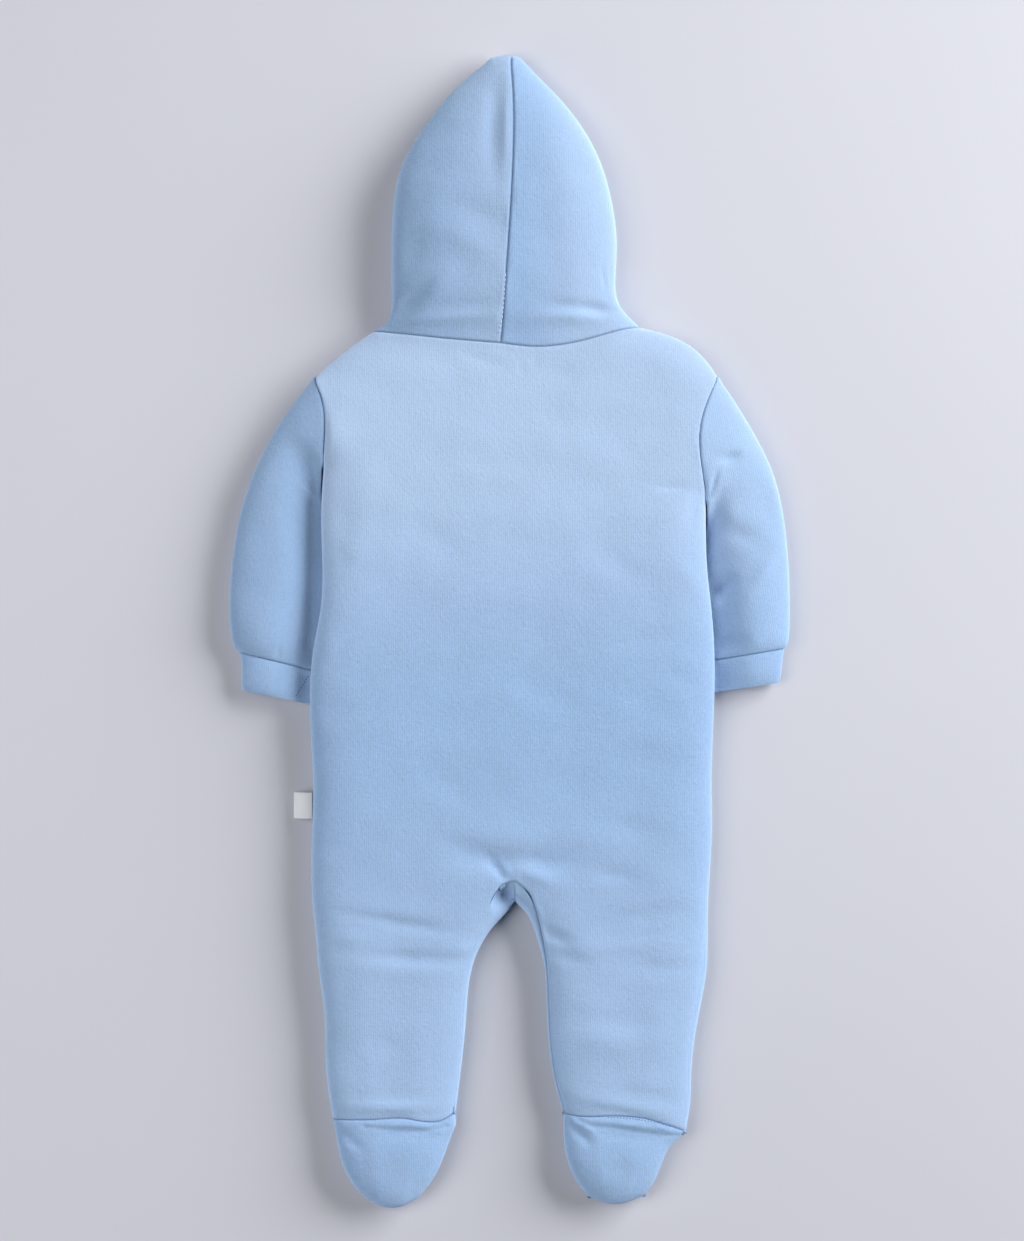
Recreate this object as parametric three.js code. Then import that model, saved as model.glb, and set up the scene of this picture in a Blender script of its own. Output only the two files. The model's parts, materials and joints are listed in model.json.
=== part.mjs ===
// A hooded, footed baby sleepsuit of thick brushed knit, laid face down, in millimetres.
// X runs across, Y towards the tip of the hood, Z up. The floor is z = 0.
// Every piece is one wall of cloth. The back of the garment looks up, its front lies on the floor.

import * as THREE from "three";

// Cloth and seams
const CLOTH = 2.2;
const CUFF_CLOTH = 2.8;
const LABEL_CLOTH = 1;
const GAP = 0.3;

// How full the garment lies, from the hood down: crown is the height of the upper side,
// seam the height of its outermost edge, round the width over which the upper side curves
// down to that edge, under the same below.
const FULLNESS = table("y crown seam round under", [
  [375, 17, 8.5, 26, 10],
  [352, 22, 10, 30, 12],
  [310, 27, 11.5, 36, 13],
  [245, 28, 12, 38, 13],
  [212, 26, 12, 34, 12],
  [197, 21.5, 11, 30, 11],
  [182, 19.5, 10.5, 28, 10],
  [140, 21, 11.5, 28, 10],
  [60, 22, 12, 27, 10],
  [-50, 22, 12, 27, 10],
  [-85, 21.5, 9.5, 27, 10],
  [-160, 21, 9, 28, 10],
  [-240, 20, 9, 30, 10],
  [-300, 19, 9, 30, 10],
  [-316, 18, 9, 28, 10],
  [-340, 21, 10, 26, 10],
  [-375, 19, 9.5, 24, 10],
]);

// Both sides of the body and the legs, from the shoulder points down to the ankles
const SIDES = table("y left right", [
  [165, -127.2, 135.8],
  [148, -120.8, 127.8],
  [134, -119.5, 123.3],
  [119, -120.2, 122.9],
  [104, -121, 124.9],
  [86, -122.6, 127.6],
  [66, -122.8, 127.7],
  [47, -122, 127.8],
  [30, -120.8, 129],
  [15, -121.8, 131.6],
  [0, -126.2, 133],
  [-20, -129.6, 133.7],
  [-45, -130.4, 133.5],
  [-70, -129.4, 132.2],
  [-95, -127.6, 131.2],
  [-120, -128.2, 132.2],
  [-150, -129.1, 131],
  [-175, -128.6, 129.5],
  [-200, -126, 129],
  [-220, -124.8, 128.8],
  [-240, -121.4, 125.2],
  [-260, -119.6, 121.2],
  [-282, -120.4, 118.4],
  [-300, -118, 118.1],
  [-317, -115.2, 118.8],
  [-325, -114.2, 114.8],
]);
const ARMPIT = { left: 111, right: 88 };

// At an armhole the cloth goes on into the sleeve, so the upper side hardly drops there:
// the ease is added to the distance from such an edge. The power shapes every rounded edge.
const ARMHOLE_EASE = 15;
const ROUNDING = 2.3;

// The legs' inner edges, from the crotch down
const CROTCH = new THREE.Vector2(3.5, -177);
const INNER = table("y left right", [
  [-177, 3.5, 3.5],
  [-181, 0.4, 8.7],
  [-187, -4.8, 13],
  [-194, -11.8, 15.9],
  [-200, -16.5, 17.7],
  [-208, -20, 20],
  [-216, -23.8, 22.8],
  [-230, -26.8, 23.5],
  [-250, -27.7, 24.3],
  [-270, -29.6, 25.6],
  [-285, -31.3, 27],
  [-298, -33, 30.4],
  [-313, -34.9, 34.9],
]);

// The inseam, where the back panel meets the fronts: an arch over the crotch, then down the legs
const INSEAM_TOP = new THREE.Vector2(3.5, -161.6);
const INSEAM = table("y left right", [
  [-161.6, 3.5, 3.5],
  [-163.4, -4.6, 5.4],
  [-166.5, -7.6, 9.6],
  [-170.5, -10, 12.9],
  [-175, -12.1, 15.2],
  [-181, -14.2, 17.2],
  [-188, -16.8, 18.6],
  [-196, -19.6, 20.6],
  [-206, -23, 22.6],
  [-218, -26.8, 24],
  [-232, -29, 24.8],
  [-250, -30, 25.3],
  [-270, -31.6, 26.6],
  [-285, -32.9, 28],
  [-298, -34.6, 31.4],
  [-313, -36.4, 35.9],
]);

// The back neck seam from the left corner to the right one, and the drop of the front neckline
const NECK = table("x y", [
  [-88.7, 195],
  [-69, 192.4],
  [-40.6, 189.2],
  [-6.8, 186.6],
  [15.3, 184],
  [29.6, 184.6],
  [43.9, 187.2],
  [57.5, 190.5],
  [71.8, 195.4],
  [84.8, 197.6],
]);
const FRONT_NECK = { drop: 33, width: 56 };
const SHOULDERS = {
  left: [[-88.7, 195], [-107.6, 181.6], [-118.4, 172.4], [-127.2, 165]],
  right: [[84.8, 197.6], [97.2, 195.4], [110.6, 191.1], [123.6, 181.3], [135.8, 165]],
};

// The hood: both edges and the centre seam, from the neck up
const HOOD = table("y left seam right", [
  [195, -88.7, -5.8, 84.8],
  [199, -81, -5, 82.6],
  [205, -77.8, -4.3, 76.8],
  [213, -76.6, -3.6, 70],
  [222, -77.3, -2.8, 68.6],
  [235, -77.6, -1.8, 69.6],
  [250, -77.1, -1, 70.6],
  [266, -77.2, 0.3, 69.6],
  [282, -76, 1.2, 66.3],
  [298, -73, 2, 62.4],
  [312, -67.2, 2.5, 56.8],
  [326, -56.4, 2.9, 48.6],
  [340, -46.8, 2.7, 38.6],
  [352, -36.6, 2.2, 27.2],
  [361, -25.6, 1.5, 17.8],
  [368, -17.4, 1, 11.4],
  [372.4, -12.4, 1, 7.4],
]);
const HOOD_TIP = [[-12.4, 372.4], [-5, 374], [1, 374.5], [7.4, 372.4]];
const TIP = { seam: 0.72, apart: 0.01, layers: 0.4 };
const FACE = { halfWidth: 24, middle: 250, halfLength: 82 };

// The feet: the ankle seam, both sides down to the toe, and the toe itself
const FEET = {
  left: {
    ankle: [[-115.2, -317], [-91.3, -316.6], [-67.9, -315.4], [-50, -319.4], [-34.9, -313]],
    outer: [[-115.2, -317], [-112.8, -329], [-110, -344.5], [-103, -358.8], [-93.9, -367.9]],
    inner: [
      [-34.9, -313], [-34.9, -324], [-39.2, -331], [-42.8, -343.4], [-49.4, -356.4], [-57.6, -366.8],
    ],
    toe: [[-93.9, -367.9], [-86, -373.4], [-75.7, -375.2], [-66, -372.8], [-57.6, -366.8]],
  },
  right: {
    ankle: [[114.8, -325], [98.4, -318.4], [86.1, -315.4], [66, -314], [50, -315.2], [34.9, -313]],
    outer: [[114.8, -325], [108.6, -331.4], [102.4, -336.8], [98.8, -346.4], [94, -358.8], [87.4, -366.8]],
    inner: [[34.9, -313], [35, -331], [37.2, -345.2], [43.9, -358.8], [51.8, -367.9]],
    toe: [[87.4, -366.8], [76.4, -371.6], [64.6, -372.6], [51.8, -367.9]],
  },
};
const ANKLE_ROLL = { height: 1.6, below: 4, width: 2.6, ends: 10 };
const CLOSE = 0.4;

// The body's sides lie over the sleeves' inner parts and are raised there
const TUCK = { lift: 8.2, flat: 6, ramp: 17, end: -52, under: 4 };
const STEEPEST = 60;

// The sleeves, from the armhole to the cuff seam: inner edge, outer edge, height of the
// upper side, of the outer edge and of the inner edge
const SLEEVES = {
  left: table("ix iy ox oy crown edge inner", [
    [-121, 111, -127.2, 165, 19, 11, 11],
    [-121.6, 103, -139.4, 149, 18.5, 10, 8.5],
    [-122.5, 93, -149.8, 135, 18, 9, 4.2],
    [-120.8, 81, -160, 117.5, 17.5, 9, 3.5],
    [-117.8, 66, -168.8, 98.6, 17, 9, 3.4],
    [-116.8, 50, -175.4, 77, 17, 9, 3.4],
    [-115.8, 34, -179.8, 55.4, 17, 9, 3.4],
    [-116.2, 18, -182, 33, 17.5, 9, 3.4],
    [-120.4, 3, -182.7, 12, 18, 9, 3.4],
    [-123.8, -11, -181.6, -4, 17.5, 8.5, 3.4],
    [-125, -21, -179.4, -11.2, 15, 8, 3.4],
    [-125.4, -26.4, -176.3, -13.8, 12.6, 6.5, 3.4],
  ]),
  right: table("ix iy ox oy crown edge inner", [
    [127.3, 88, 135.8, 165, 19, 11, 11],
    [128.3, 80, 146.4, 149.6, 18.5, 10, 8.5],
    [128.4, 70.5, 155.8, 134.2, 18, 9, 4.2],
    [126.6, 59, 165, 118, 17.5, 9, 3.5],
    [123, 46.5, 172.6, 101.4, 17, 9, 3.4],
    [123.8, 34, 177.9, 79, 17, 9, 3.4],
    [126, 21.5, 181, 54, 17, 9, 3.4],
    [127.8, 9.5, 182.3, 29, 17.5, 9, 3.4],
    [128.4, -2, 182.4, 8.6, 18, 9, 3.4],
    [128.6, -11, 182, -4.6, 17.5, 8.5, 3.4],
    [128.6, -17, 180.8, -9.6, 15, 8, 3.4],
    [128.6, -20, 179, -11.4, 12.6, 6.5, 3.4],
  ]),
};
const CUFFS = {
  left: table("ix iy ox oy crown edge inner", [
    [-125.4, -26.4, -176.3, -13.8, 12.6, 6.5, 3.6],
    [-125.5, -29.5, -174.8, -17.4, 13.6, 6.8, 3.6],
    [-125.8, -38.5, -174.2, -27.5, 14, 7, 3.6],
    [-126, -46, -174.8, -35.4, 13.4, 6.8, 3.6],
    [-126, -48.4, -174.2, -38.4, 11.8, 6, 3.6],
  ]),
  right: table("ix iy ox oy crown edge inner", [
    [128.6, -20, 179, -11.4, 12.6, 6.5, 3.6],
    [128.6, -23, 178.2, -14.6, 13.6, 6.8, 3.6],
    [128.6, -30.5, 177.4, -23.6, 14, 7, 3.6],
    [128.6, -38, 176.6, -31, 13.4, 6.8, 3.6],
    [128.6, -40.6, 175.4, -33.8, 11.8, 6, 3.6],
  ]),
};
const SLEEVE = { round: 26, under: 9, flap: 7, rise: 22, flapRound: 4, armholeBlend: 3 };

// The front opening: the right front laps over the left one and closes with press studs
const LAP = { edge: CROTCH.x, width: 24, ramp: 11, clear: 0.5, endY: -122, closeY: -150 };
const LAP_CLOSE = { studs: 8, studsOver: 30, cloth: 4, clothOver: 12 };
const STUD = {
  radius: 4.8, faceRadius: 3.9, bevel: 0.6, height: 1.2, sides: 20,
  across: 12, first: 146, pitch: 44, count: 7,
};

// The label in the left side seam
const LABEL = { y: -113.6, length: 17, reach: 12.4, drop: 5.5, steps: 5 };

// The largest folds in the upper side: centre, direction in degrees, half length, half width, depth
const FOLDS = table("x y turn long wide deep", [
  [-72, 206, 40, 26, 6, 3],
  [58, 212, 150, 24, 6, 2.6],
  [-20, -72, -4, 95, 12, 1.4],
  [30, -100, 5, 90, 11, 1.2],
  [-15, -10, 3, 90, 14, 1.2],
  [8, -138, 0, 60, 12, 2],
  [-66, -194, 8, 46, 8, 1.8],
  [75, -200, -6, 44, 8, 1.6],
  [-60, -222, 3, 42, 7, 1.5],
  [76, -232, 4, 40, 8, 1.6],
  [-75, -274, -5, 36, 8, 1.2],
  [72, -280, 6, 36, 8, 1.2],
]);
const FOLD_EASE = { body: 12, sleeve: 14 };
const SLEEVE_FOLDS = table("x y turn long wide deep", [
  [-136, 95, -62, 34, 8, 3],
  [-138, 22, 80, 44, 9, 2.6],
  [144, 114, -35, 15, 6, 2.6],
  [139, 32, 40, 16, 7, 2.4],
]);

// Grid lines. An edge needs them close together, the middle of a panel does not.
// Two pieces that meet share theirs: the neck stations lie on the neck seams, and the tube
// steps run round a sleeve and down the armhole.
const EDGE_STEPS = [0, 0.8, 4, 11, 25];
const MIDDLE_SHARES = [0.36, 0.45, 0.55, 0.64];
const TUBE_STEPS = [0, 0.02, 0.09, 0.22, 0.4, 0.6, 0.77, 0.89, 0.96, 0.99, 1];
const ARMPIT_ROW = 98;
const TOP_SPREAD = { rows: 6, across: 90 };
const SHOULDER_END = 0.1;
const BODY_LEVELS = [66, 40, 14, -12, -40, -68, -96, -122, -141, -153];
const CROTCH_LEVELS = [-161.6, -163.4, -166.5, -170.5, -174.5, -177];
const LEG_LEVELS = [-181, -187, -194, -204, -216, -232, -252, -272, -291, -306];
const FOOT_STEPS = [0, 0.04, 0.09, 0.16, 0.3, 0.5, 0.7, 0.85, 0.95, 0.99, 1];
const ANKLE_INNER = -313;
const PLAN_STEPS = { side: 120, inner: 40, hood: 50, curve: 14 };

// From the hips down a panel's lines move from the body's spacing to the leg's.
const LEG_BLEND = { from: -105, over: 50 };
// Above this height the part of a front that shows beside the inseam fans out over the crotch.
const WRAP_END = -216;
const NECK_EASE = 226;
const HOOD_LEVELS = [195, 198, 204, 213, 226, 243, 262, 282, 301, 318, 333, 347, 358, 366, 371];
const NECK_STATIONS = {
  left: {
    back: [-88.7, -86.5, -80, -68, -54, -38, -22, -5.8, 3.5],
    front: [-88.7, -86.5, -80, -64, -44, -23.7],
  },
  right: {
    back: [84.8, 82.6, 76, 64, 50, 36, 22, 10, 3.5],
    front: [84.8, 82.6, 76, 64, 52, 44],
  },
};

const BLUE = 0xa6c4e6;
const WHITE = 0xf2f2f0;
const METAL = 0xd8dce2;

// Rows with named columns
function table(names, rows) {
  const keys = names.split(" ");
  return rows.map((row) => Object.fromEntries(keys.map((key, i) => [key, row[i]])));
}

function smooth(t) {
  const s = Math.min(1, Math.max(0, t));
  return s * s * (3 - 2 * s);
}

function mix(a, b, t) {
  return a + (b - a) * t;
}

// A column of a table read between its rows, along the table's first column
function read(rows, column, at, along = "y") {
  const falling = rows[0][along] > rows[rows.length - 1][along];
  const side = falling ? -1 : 1;
  let i = 0;
  while (i < rows.length - 2 && side * rows[i + 1][along] < side * at) i++;
  const [a, b] = [rows[i], rows[i + 1]];
  const span = b[along] - a[along];
  const t = Math.min(1, Math.max(0, (at - a[along]) / span));
  const before = rows[Math.max(0, i - 1)];
  const after = rows[Math.min(rows.length - 1, i + 2)];
  const slopeA = (b[column] - before[column]) / (b[along] - before[along]);
  const slopeB = (after[column] - a[column]) / (after[along] - a[along]);
  const h = t * t * (3 - 2 * t);
  const bend = t * (1 - t) * ((1 - t) * slopeA - t * slopeB) * span;
  return mix(a[column], b[column], h) + bend;
}

// A smooth plan curve through points, read from 0 to 1 along its length
function curve(points) {
  const flat = points.map(([x, y]) => new THREE.Vector3(x, y, 0));
  const line = new THREE.CatmullRomCurve3(flat, false, "centripetal");
  return (t) => {
    const p = line.getPointAt(Math.min(1, Math.max(0, t)));
    return new THREE.Vector2(p.x, p.y);
  };
}

// The outline of the garment without its sleeves, walked with the cloth on the left.
function armholeEase(y, side) {
  const t = (SIDES[0].y - y) / (SIDES[0].y - ARMPIT[side]);
  return t > 0 && t < 1 ? ARMHOLE_EASE * Math.sin(Math.PI * t) : 0;
}

function sidePoints(side) {
  const points = [];
  const last = FEET[side].ankle[0][1];
  for (let i = 0; i <= PLAN_STEPS.side; i++) {
    const y = mix(SIDES[0].y, last, i / PLAN_STEPS.side);
    points.push({ x: read(SIDES, side, y), y, ease: armholeEase(y, side) });
  }
  return points;
}

function innerPoints(side) {
  const points = [];
  for (let i = 0; i <= PLAN_STEPS.inner; i++) {
    const y = mix(CROTCH.y, ANKLE_INNER, i / PLAN_STEPS.inner);
    points.push({ x: read(INNER, side, y), y, ease: 0 });
  }
  return points;
}

function hoodPoints(side) {
  const points = [];
  for (let i = 0; i <= PLAN_STEPS.hood; i++) {
    const y = mix(HOOD[0].y, HOOD[HOOD.length - 1].y, i / PLAN_STEPS.hood);
    points.push({ x: read(HOOD, side, y), y, ease: 0 });
  }
  points[0].y = SHOULDERS[side][0][1];
  return points;
}

function curvePoints(list) {
  const at = curve(list);
  const count = PLAN_STEPS.curve;
  return Array.from({ length: count + 1 }, (_, i) => {
    const p = at(i / count);
    return { x: p.x, y: p.y, ease: 0 };
  });
}

const OUTLINE = [
  ...curvePoints(HOOD_TIP).reverse(),
  ...hoodPoints("left").reverse(),
  ...curvePoints(SHOULDERS.left),
  ...sidePoints("left"),
  ...curvePoints(FEET.left.outer),
  ...curvePoints(FEET.left.toe),
  ...curvePoints(FEET.left.inner).reverse(),
  ...innerPoints("left").reverse(),
  ...innerPoints("right"),
  ...curvePoints(FEET.right.inner),
  ...curvePoints(FEET.right.toe).reverse(),
  ...curvePoints(FEET.right.outer).reverse(),
  ...sidePoints("right").reverse(),
  ...curvePoints(SHOULDERS.right).reverse(),
  ...hoodPoints("right"),
];

const EDGES = OUTLINE.map((a, i) => {
  const b = OUTLINE[(i + 1) % OUTLINE.length];
  const length = Math.hypot(b.x - a.x, b.y - a.y);
  return { a, b, length };
}).filter((edge) => edge.length > 0.01);

// How far a plan point is from the outline, and which way is inwards there. Close to the
// outline the way is the mean of the edges within reach.
function depthAt(x, y) {
  let best = { depth: Infinity };
  const close = [];
  for (const { a, b, length } of EDGES) {
    const ux = (b.x - a.x) / length;
    const uy = (b.y - a.y) / length;
    const along = Math.min(length, Math.max(0, (x - a.x) * ux + (y - a.y) * uy));
    const dx = x - a.x - ux * along;
    const dy = y - a.y - uy * along;
    const away = Math.hypot(dx, dy);
    if (away < CLOSE) close.push([-uy, ux]);
    const depth = away + mix(a.ease, b.ease, along / length);
    if (depth < best.depth) best = { depth, gx: dx / away, gy: dy / away };
  }
  if (close.length) {
    const sx = close.reduce((sum, n) => sum + n[0], 0);
    const sy = close.reduce((sum, n) => sum + n[1], 0);
    const size = Math.hypot(sx, sy) || 1;
    best.gx = sx / size;
    best.gy = sy / size;
  }
  return best;
}

// The rounding from an edge to a level side, over a share s of its width, and its slope
function dome(s) {
  if (s >= 1) return 1;
  return Math.pow(1 - Math.pow(1 - s, ROUNDING), 1 / ROUNDING);
}

function domeSlope(s) {
  if (s >= 1) return 0;
  const left = 1 - Math.max(s, 1e-4);
  return Math.pow(left, ROUNDING - 1) * Math.pow(1 - Math.pow(left, ROUNDING), 1 / ROUNDING - 1);
}

// Soft folds, summed
function foldDepth(list, x, y) {
  let sum = 0;
  for (const fold of list) {
    const turn = THREE.MathUtils.degToRad(fold.turn);
    const along = (x - fold.x) * Math.cos(turn) + (y - fold.y) * Math.sin(turn);
    const across = (y - fold.y) * Math.cos(turn) - (x - fold.x) * Math.sin(turn);
    const reach = smooth(1 - Math.abs(along) / fold.long);
    sum += fold.deep * reach * Math.exp(-((across / fold.wide) ** 2));
  }
  return sum;
}

function ankleRoll(x, y) {
  const foot = x < 0 ? FEET.left : FEET.right;
  const nearer = (near, p) => (Math.abs(p[0] - x) < Math.abs(near[0] - x) ? p : near);
  const off = foot.ankle.reduce(nearer)[1] - ANKLE_ROLL.below - y;
  return ANKLE_ROLL.height * Math.exp(-((off / ANKLE_ROLL.width) ** 2));
}

// How much the underside is raised over the sleeves
const TUCK_LINES = ["left", "right"].map((side) =>
  sidePoints(side).filter((p) => p.y < ARMPIT[side] && p.y > TUCK.end),
);

function tuckLift(x, y) {
  const line = TUCK_LINES[x < 0 ? 0 : 1];
  const away = Math.min(...line.map((p) => Math.hypot(p.x - x, p.y - y)));
  return TUCK.lift * (1 - smooth((away - TUCK.flat) / TUCK.ramp));
}

// A point on the garment's upper side (side 1) or under side (side -1), with the way out there.
// A point on the outline itself lies at the seam's height and looks straight outwards.
function lay(x, y, side, onEdge = false) {
  const full = Object.fromEntries(
    ["crown", "seam", "round", "under"].map((name) => [name, read(FULLNESS, name, y)]),
  );
  const { depth, gx, gy } = depthAt(x, y);
  if (onEdge) {
    return {
      p: new THREE.Vector3(x, y, full.seam + (side * GAP) / 2),
      n: new THREE.Vector3(-gx, -gy, 0),
    };
  }
  if (side > 0) {
    const rise = full.crown - full.seam;
    const s = depth / full.round;
    const slope = Math.min(STEEPEST, (rise / full.round) * domeSlope(s));
    const fold = (px, py) => foldDepth(FOLDS, px, py) * smooth(depth / FOLD_EASE.body);
    const z = full.seam + rise * dome(s) - fold(x, y) + rollAt(x, y, depth);
    const ex = (fold(x - 1, y) - fold(x + 1, y)) / 2;
    const ey = (fold(x, y - 1) - fold(x, y + 1)) / 2;
    const n = new THREE.Vector3(-slope * gx - ex, -slope * gy - ey, 1).normalize();
    return { p: new THREE.Vector3(x, y, z), n };
  }
  const lift = tuckLift(x, y);
  const under = mix(full.under, TUCK.under, lift / TUCK.lift);
  const s = depth / under;
  const slope = Math.min(STEEPEST, ((full.seam - lift) / under) * domeSlope(s));
  const z = lift + (full.seam - lift) * (1 - dome(s));
  const ex = (tuckLift(x + 1, y) - tuckLift(x - 1, y)) / 2;
  const ey = (tuckLift(x, y + 1) - tuckLift(x, y - 1)) / 2;
  const n = new THREE.Vector3(-slope * gx + ex, -slope * gy + ey, -1).normalize();
  return { p: new THREE.Vector3(x, y, z), n };
}

function rollAt(x, y, depth) {
  return y < ANKLE_INNER + 1 ? ankleRoll(x, y) * smooth(depth / ANKLE_ROLL.ends) : 0;
}

// A wall of cloth from its outer points and the four-sided faces between them, which turn
// left seen from outside. The inner side is the outer one moved in by the cloth's thickness,
// and a strip closes each free edge, split the same way on both pieces that meet there.
function wall(points, faces, thickness) {
  const position = [];
  for (const { p } of points) position.push(p.x, p.y, p.z);
  for (const { p, n } of points) {
    position.push(p.x - n.x * thickness, p.y - n.y * thickness, p.z - n.z * thickness);
  }
  const inner = points.length;
  const index = [];
  const edges = new Set();
  for (const face of faces) {
    face.forEach((a, i) => edges.add(`${a},${face[(i + 1) % face.length]}`));
  }
  for (const [a, b, c, d] of faces) {
    index.push(a, b, c, a, c, d);
    index.push(a + inner, c + inner, b + inner, a + inner, d + inner, c + inner);
  }
  const order = (i) => points[i].p.y + points[i].p.x / 3;
  for (const edge of edges) {
    const [a, b] = edge.split(",").map(Number);
    if (edges.has(`${b},${a}`)) continue;
    if (order(b) > order(a)) index.push(b, a, a + inner, b, a + inner, b + inner);
    else index.push(b, a, b + inner, a, a + inner, b + inner);
  }
  const geometry = new THREE.BufferGeometry();
  geometry.setAttribute("position", new THREE.Float32BufferAttribute(position, 3));
  geometry.setIndex(index);
  geometry.computeVertexNormals();
  return geometry;
}

// Faces of a grid of rows and columns of point numbers. Flip turns them over.
function gridFaces(rows, flip = false, closed = false) {
  const faces = [];
  for (let r = 0; r + 1 < rows.length; r++) {
    const count = rows[r].length;
    for (let c = 0; c < (closed ? count : count - 1); c++) {
      const next = (c + 1) % count;
      const face = [rows[r][c], rows[r + 1][c], rows[r + 1][next], rows[r][next]];
      faces.push(flip ? face.reverse() : face);
    }
  }
  return faces;
}

// The plan x of each grid line across one half of a panel, from the side to the middle.
// Over the body the middle is level cloth, down a leg it is a second edge.
function bodyLines(outerX, stops) {
  const sign = Math.sign(stops[0] - outerX);
  const near = EDGE_STEPS.map((d) => outerX + sign * d);
  const count = EDGE_STEPS.length + MIDDLE_SHARES.length + EDGE_STEPS.length;
  const between = count - near.length - stops.length;
  const from = near[near.length - 1];
  const share = (i) => (i + 1) / (between + 1);
  const rest = Array.from({ length: between }, (_, i) => mix(from, stops[0], share(i)));
  return [...near, ...rest, ...stops];
}

function legLines(outerX, innerX) {
  const width = Math.abs(innerX - outerX);
  const near = EDGE_STEPS.map((d) => d / width);
  const shares = [...near, ...MIDDLE_SHARES, ...near.map((s) => 1 - s).reverse()];
  return shares.map((s) => mix(outerX, innerX, s));
}

// Grid lines that the body keeps all the way down: the middle of the back, and on a front
// the foot and the top of the ramp up to the lap, and the lap's edge
function stopLines(side, front, y) {
  if (!front) return [CROTCH.x];
  const edge = lapEdge(side, y);
  const far = LAP.edge + LAP.width;
  if (side === "right") return [far + LAP.ramp, far + LAP.clear, edge];
  return [LAP.edge - LAP.ramp - LAP.clear, LAP.edge - LAP.clear, edge];
}

function linesAt(side, front, y, outerX, innerX) {
  const open = bodyLines(outerX, stopLines(side, front, y));
  const closed = legLines(outerX, innerX);
  const t = smooth((LEG_BLEND.from - y) / LEG_BLEND.over);
  return open.map((x, i) => mix(x, closed[i], t));
}

// Where the shoulder and the neckline run at a plan x
function topLine(x, front) {
  const points = SHOULDERS[x < 0 ? "left" : "right"];
  const [cornerX, cornerY] = points[0];
  const inwards = Math.abs(cornerX) - Math.abs(x);
  if (inwards <= 0) return read(table("x y", points), "y", x, "x");
  if (!front) return read(NECK, "y", x, "x");
  return cornerY - FRONT_NECK.drop * smooth(inwards / FRONT_NECK.width);
}

// The ankle seam at a plan x
function ankleLine(x) {
  return read(table("x y", FEET[x < 0 ? "left" : "right"].ankle), "y", x, "x");
}

// Rows of plan points of one half of a panel, from the top line down to the crotch.
// Each point says whether it lies on the outline, and how far a seam moves it.
function halfRows(side, front) {
  const sign = side === "left" ? -1 : 1;
  const shoulderX = SIDES[0][side];
  const shoulderY = SIDES[0].y;
  const neck = NECK_STATIONS[side][front ? "front" : "back"];
  const stops = stopLines(side, front, shoulderY);
  const shoulderXs = bodyLines(shoulderX, stops).slice(0, EDGE_STEPS.length);
  const topXs = [...shoulderXs, ...neck, ...(front ? stops : [])];
  const cornerX = Math.abs(neck[0]);
  const rows = [];
  const steps = TUBE_STEPS.map((u) => 1 - u).reverse();
  steps.forEach((t, r) => {
    const sideY = mix(shoulderY, ARMPIT[side], t);
    const outerX = read(SIDES, side, sideY);
    const level = linesAt(side, front, sideY, outerX, CROTCH.x);
    const spread = smooth(r / TOP_SPREAD.rows);
    rows.push(
      level.map((levelX, i) => {
        const x = i === 0 ? outerX : mix(topXs[i], levelX, spread);
        const low = mix(ARMPIT[side], ARMPIT_ROW, smooth(Math.abs(x - outerX) / TOP_SPREAD.across));
        const y = i === 0 ? sideY : mix(topLine(x, front), low, t);
        const onShoulder = r === 0 && Math.abs(x) >= cornerX - 0.01;
        const edge = onShoulder || (i === 0 && t === 1);
        const shiftX = i === 0 ? (-sign * GAP) / 2 : 0;
        const onNeck = r === 0 && !onShoulder;
        const atPoint = i === 0 && t < SHOULDER_END;
        return { x, y, edge, shiftX, shiftY: onNeck ? -GAP / 2 : atPoint ? GAP : 0 };
      }),
    );
  });
  const last = rows[rows.length - 1];
  rows.push(levelRow(side, front, (i) => mix(last[i].y, BODY_LEVELS[0], 0.5)));
  for (const y of BODY_LEVELS) rows.push(levelRow(side, front, () => y));
  return rows;
}

function levelRow(side, front, yAt) {
  const outerX = read(SIDES, side, yAt(0));
  return linesAt(side, front, yAt(0), outerX, CROTCH.x).map((x, i) => ({
    x,
    y: yAt(i),
    edge: i === 0,
  }));
}

// The inner limit of a front panel: the right one ends at the lap, the left one runs on under it
function lapEdge(side, y) {
  if (side === "right") return LAP.edge + GAP / 2;
  const under = LAP.width * (1 - smooth((LAP.endY - y) / (LAP.endY - LAP.closeY)));
  return LAP.edge - GAP / 2 + under;
}

// How far the lap raises the fronts: the right one over the studs, the left one over the right
function lapLift(side, x, y) {
  const studsEnd = smooth((LAP.endY - LAP_CLOSE.studs - y) / LAP_CLOSE.studsOver);
  const raised = (STUD.height + GAP) * (1 - studsEnd);
  const far = LAP.edge + LAP.width + LAP.clear;
  if (side === "right") return raised * (1 - smooth((x - far) / (LAP.ramp - LAP.clear)));
  const over = smooth((x - LAP.edge + LAP.ramp + LAP.clear) / LAP.ramp);
  const clothEnd = smooth((LAP.closeY - LAP_CLOSE.cloth - y) / LAP_CLOSE.clothOver);
  return (raised + (CLOTH + GAP) * (1 - clothEnd)) * over;
}

function placed(point, side) {
  const { p, n } = lay(point.x, point.y, side, point.edge);
  p.x += point.shiftX ?? 0;
  p.y += point.shiftY ?? 0;
  return { p, n };
}

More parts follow.
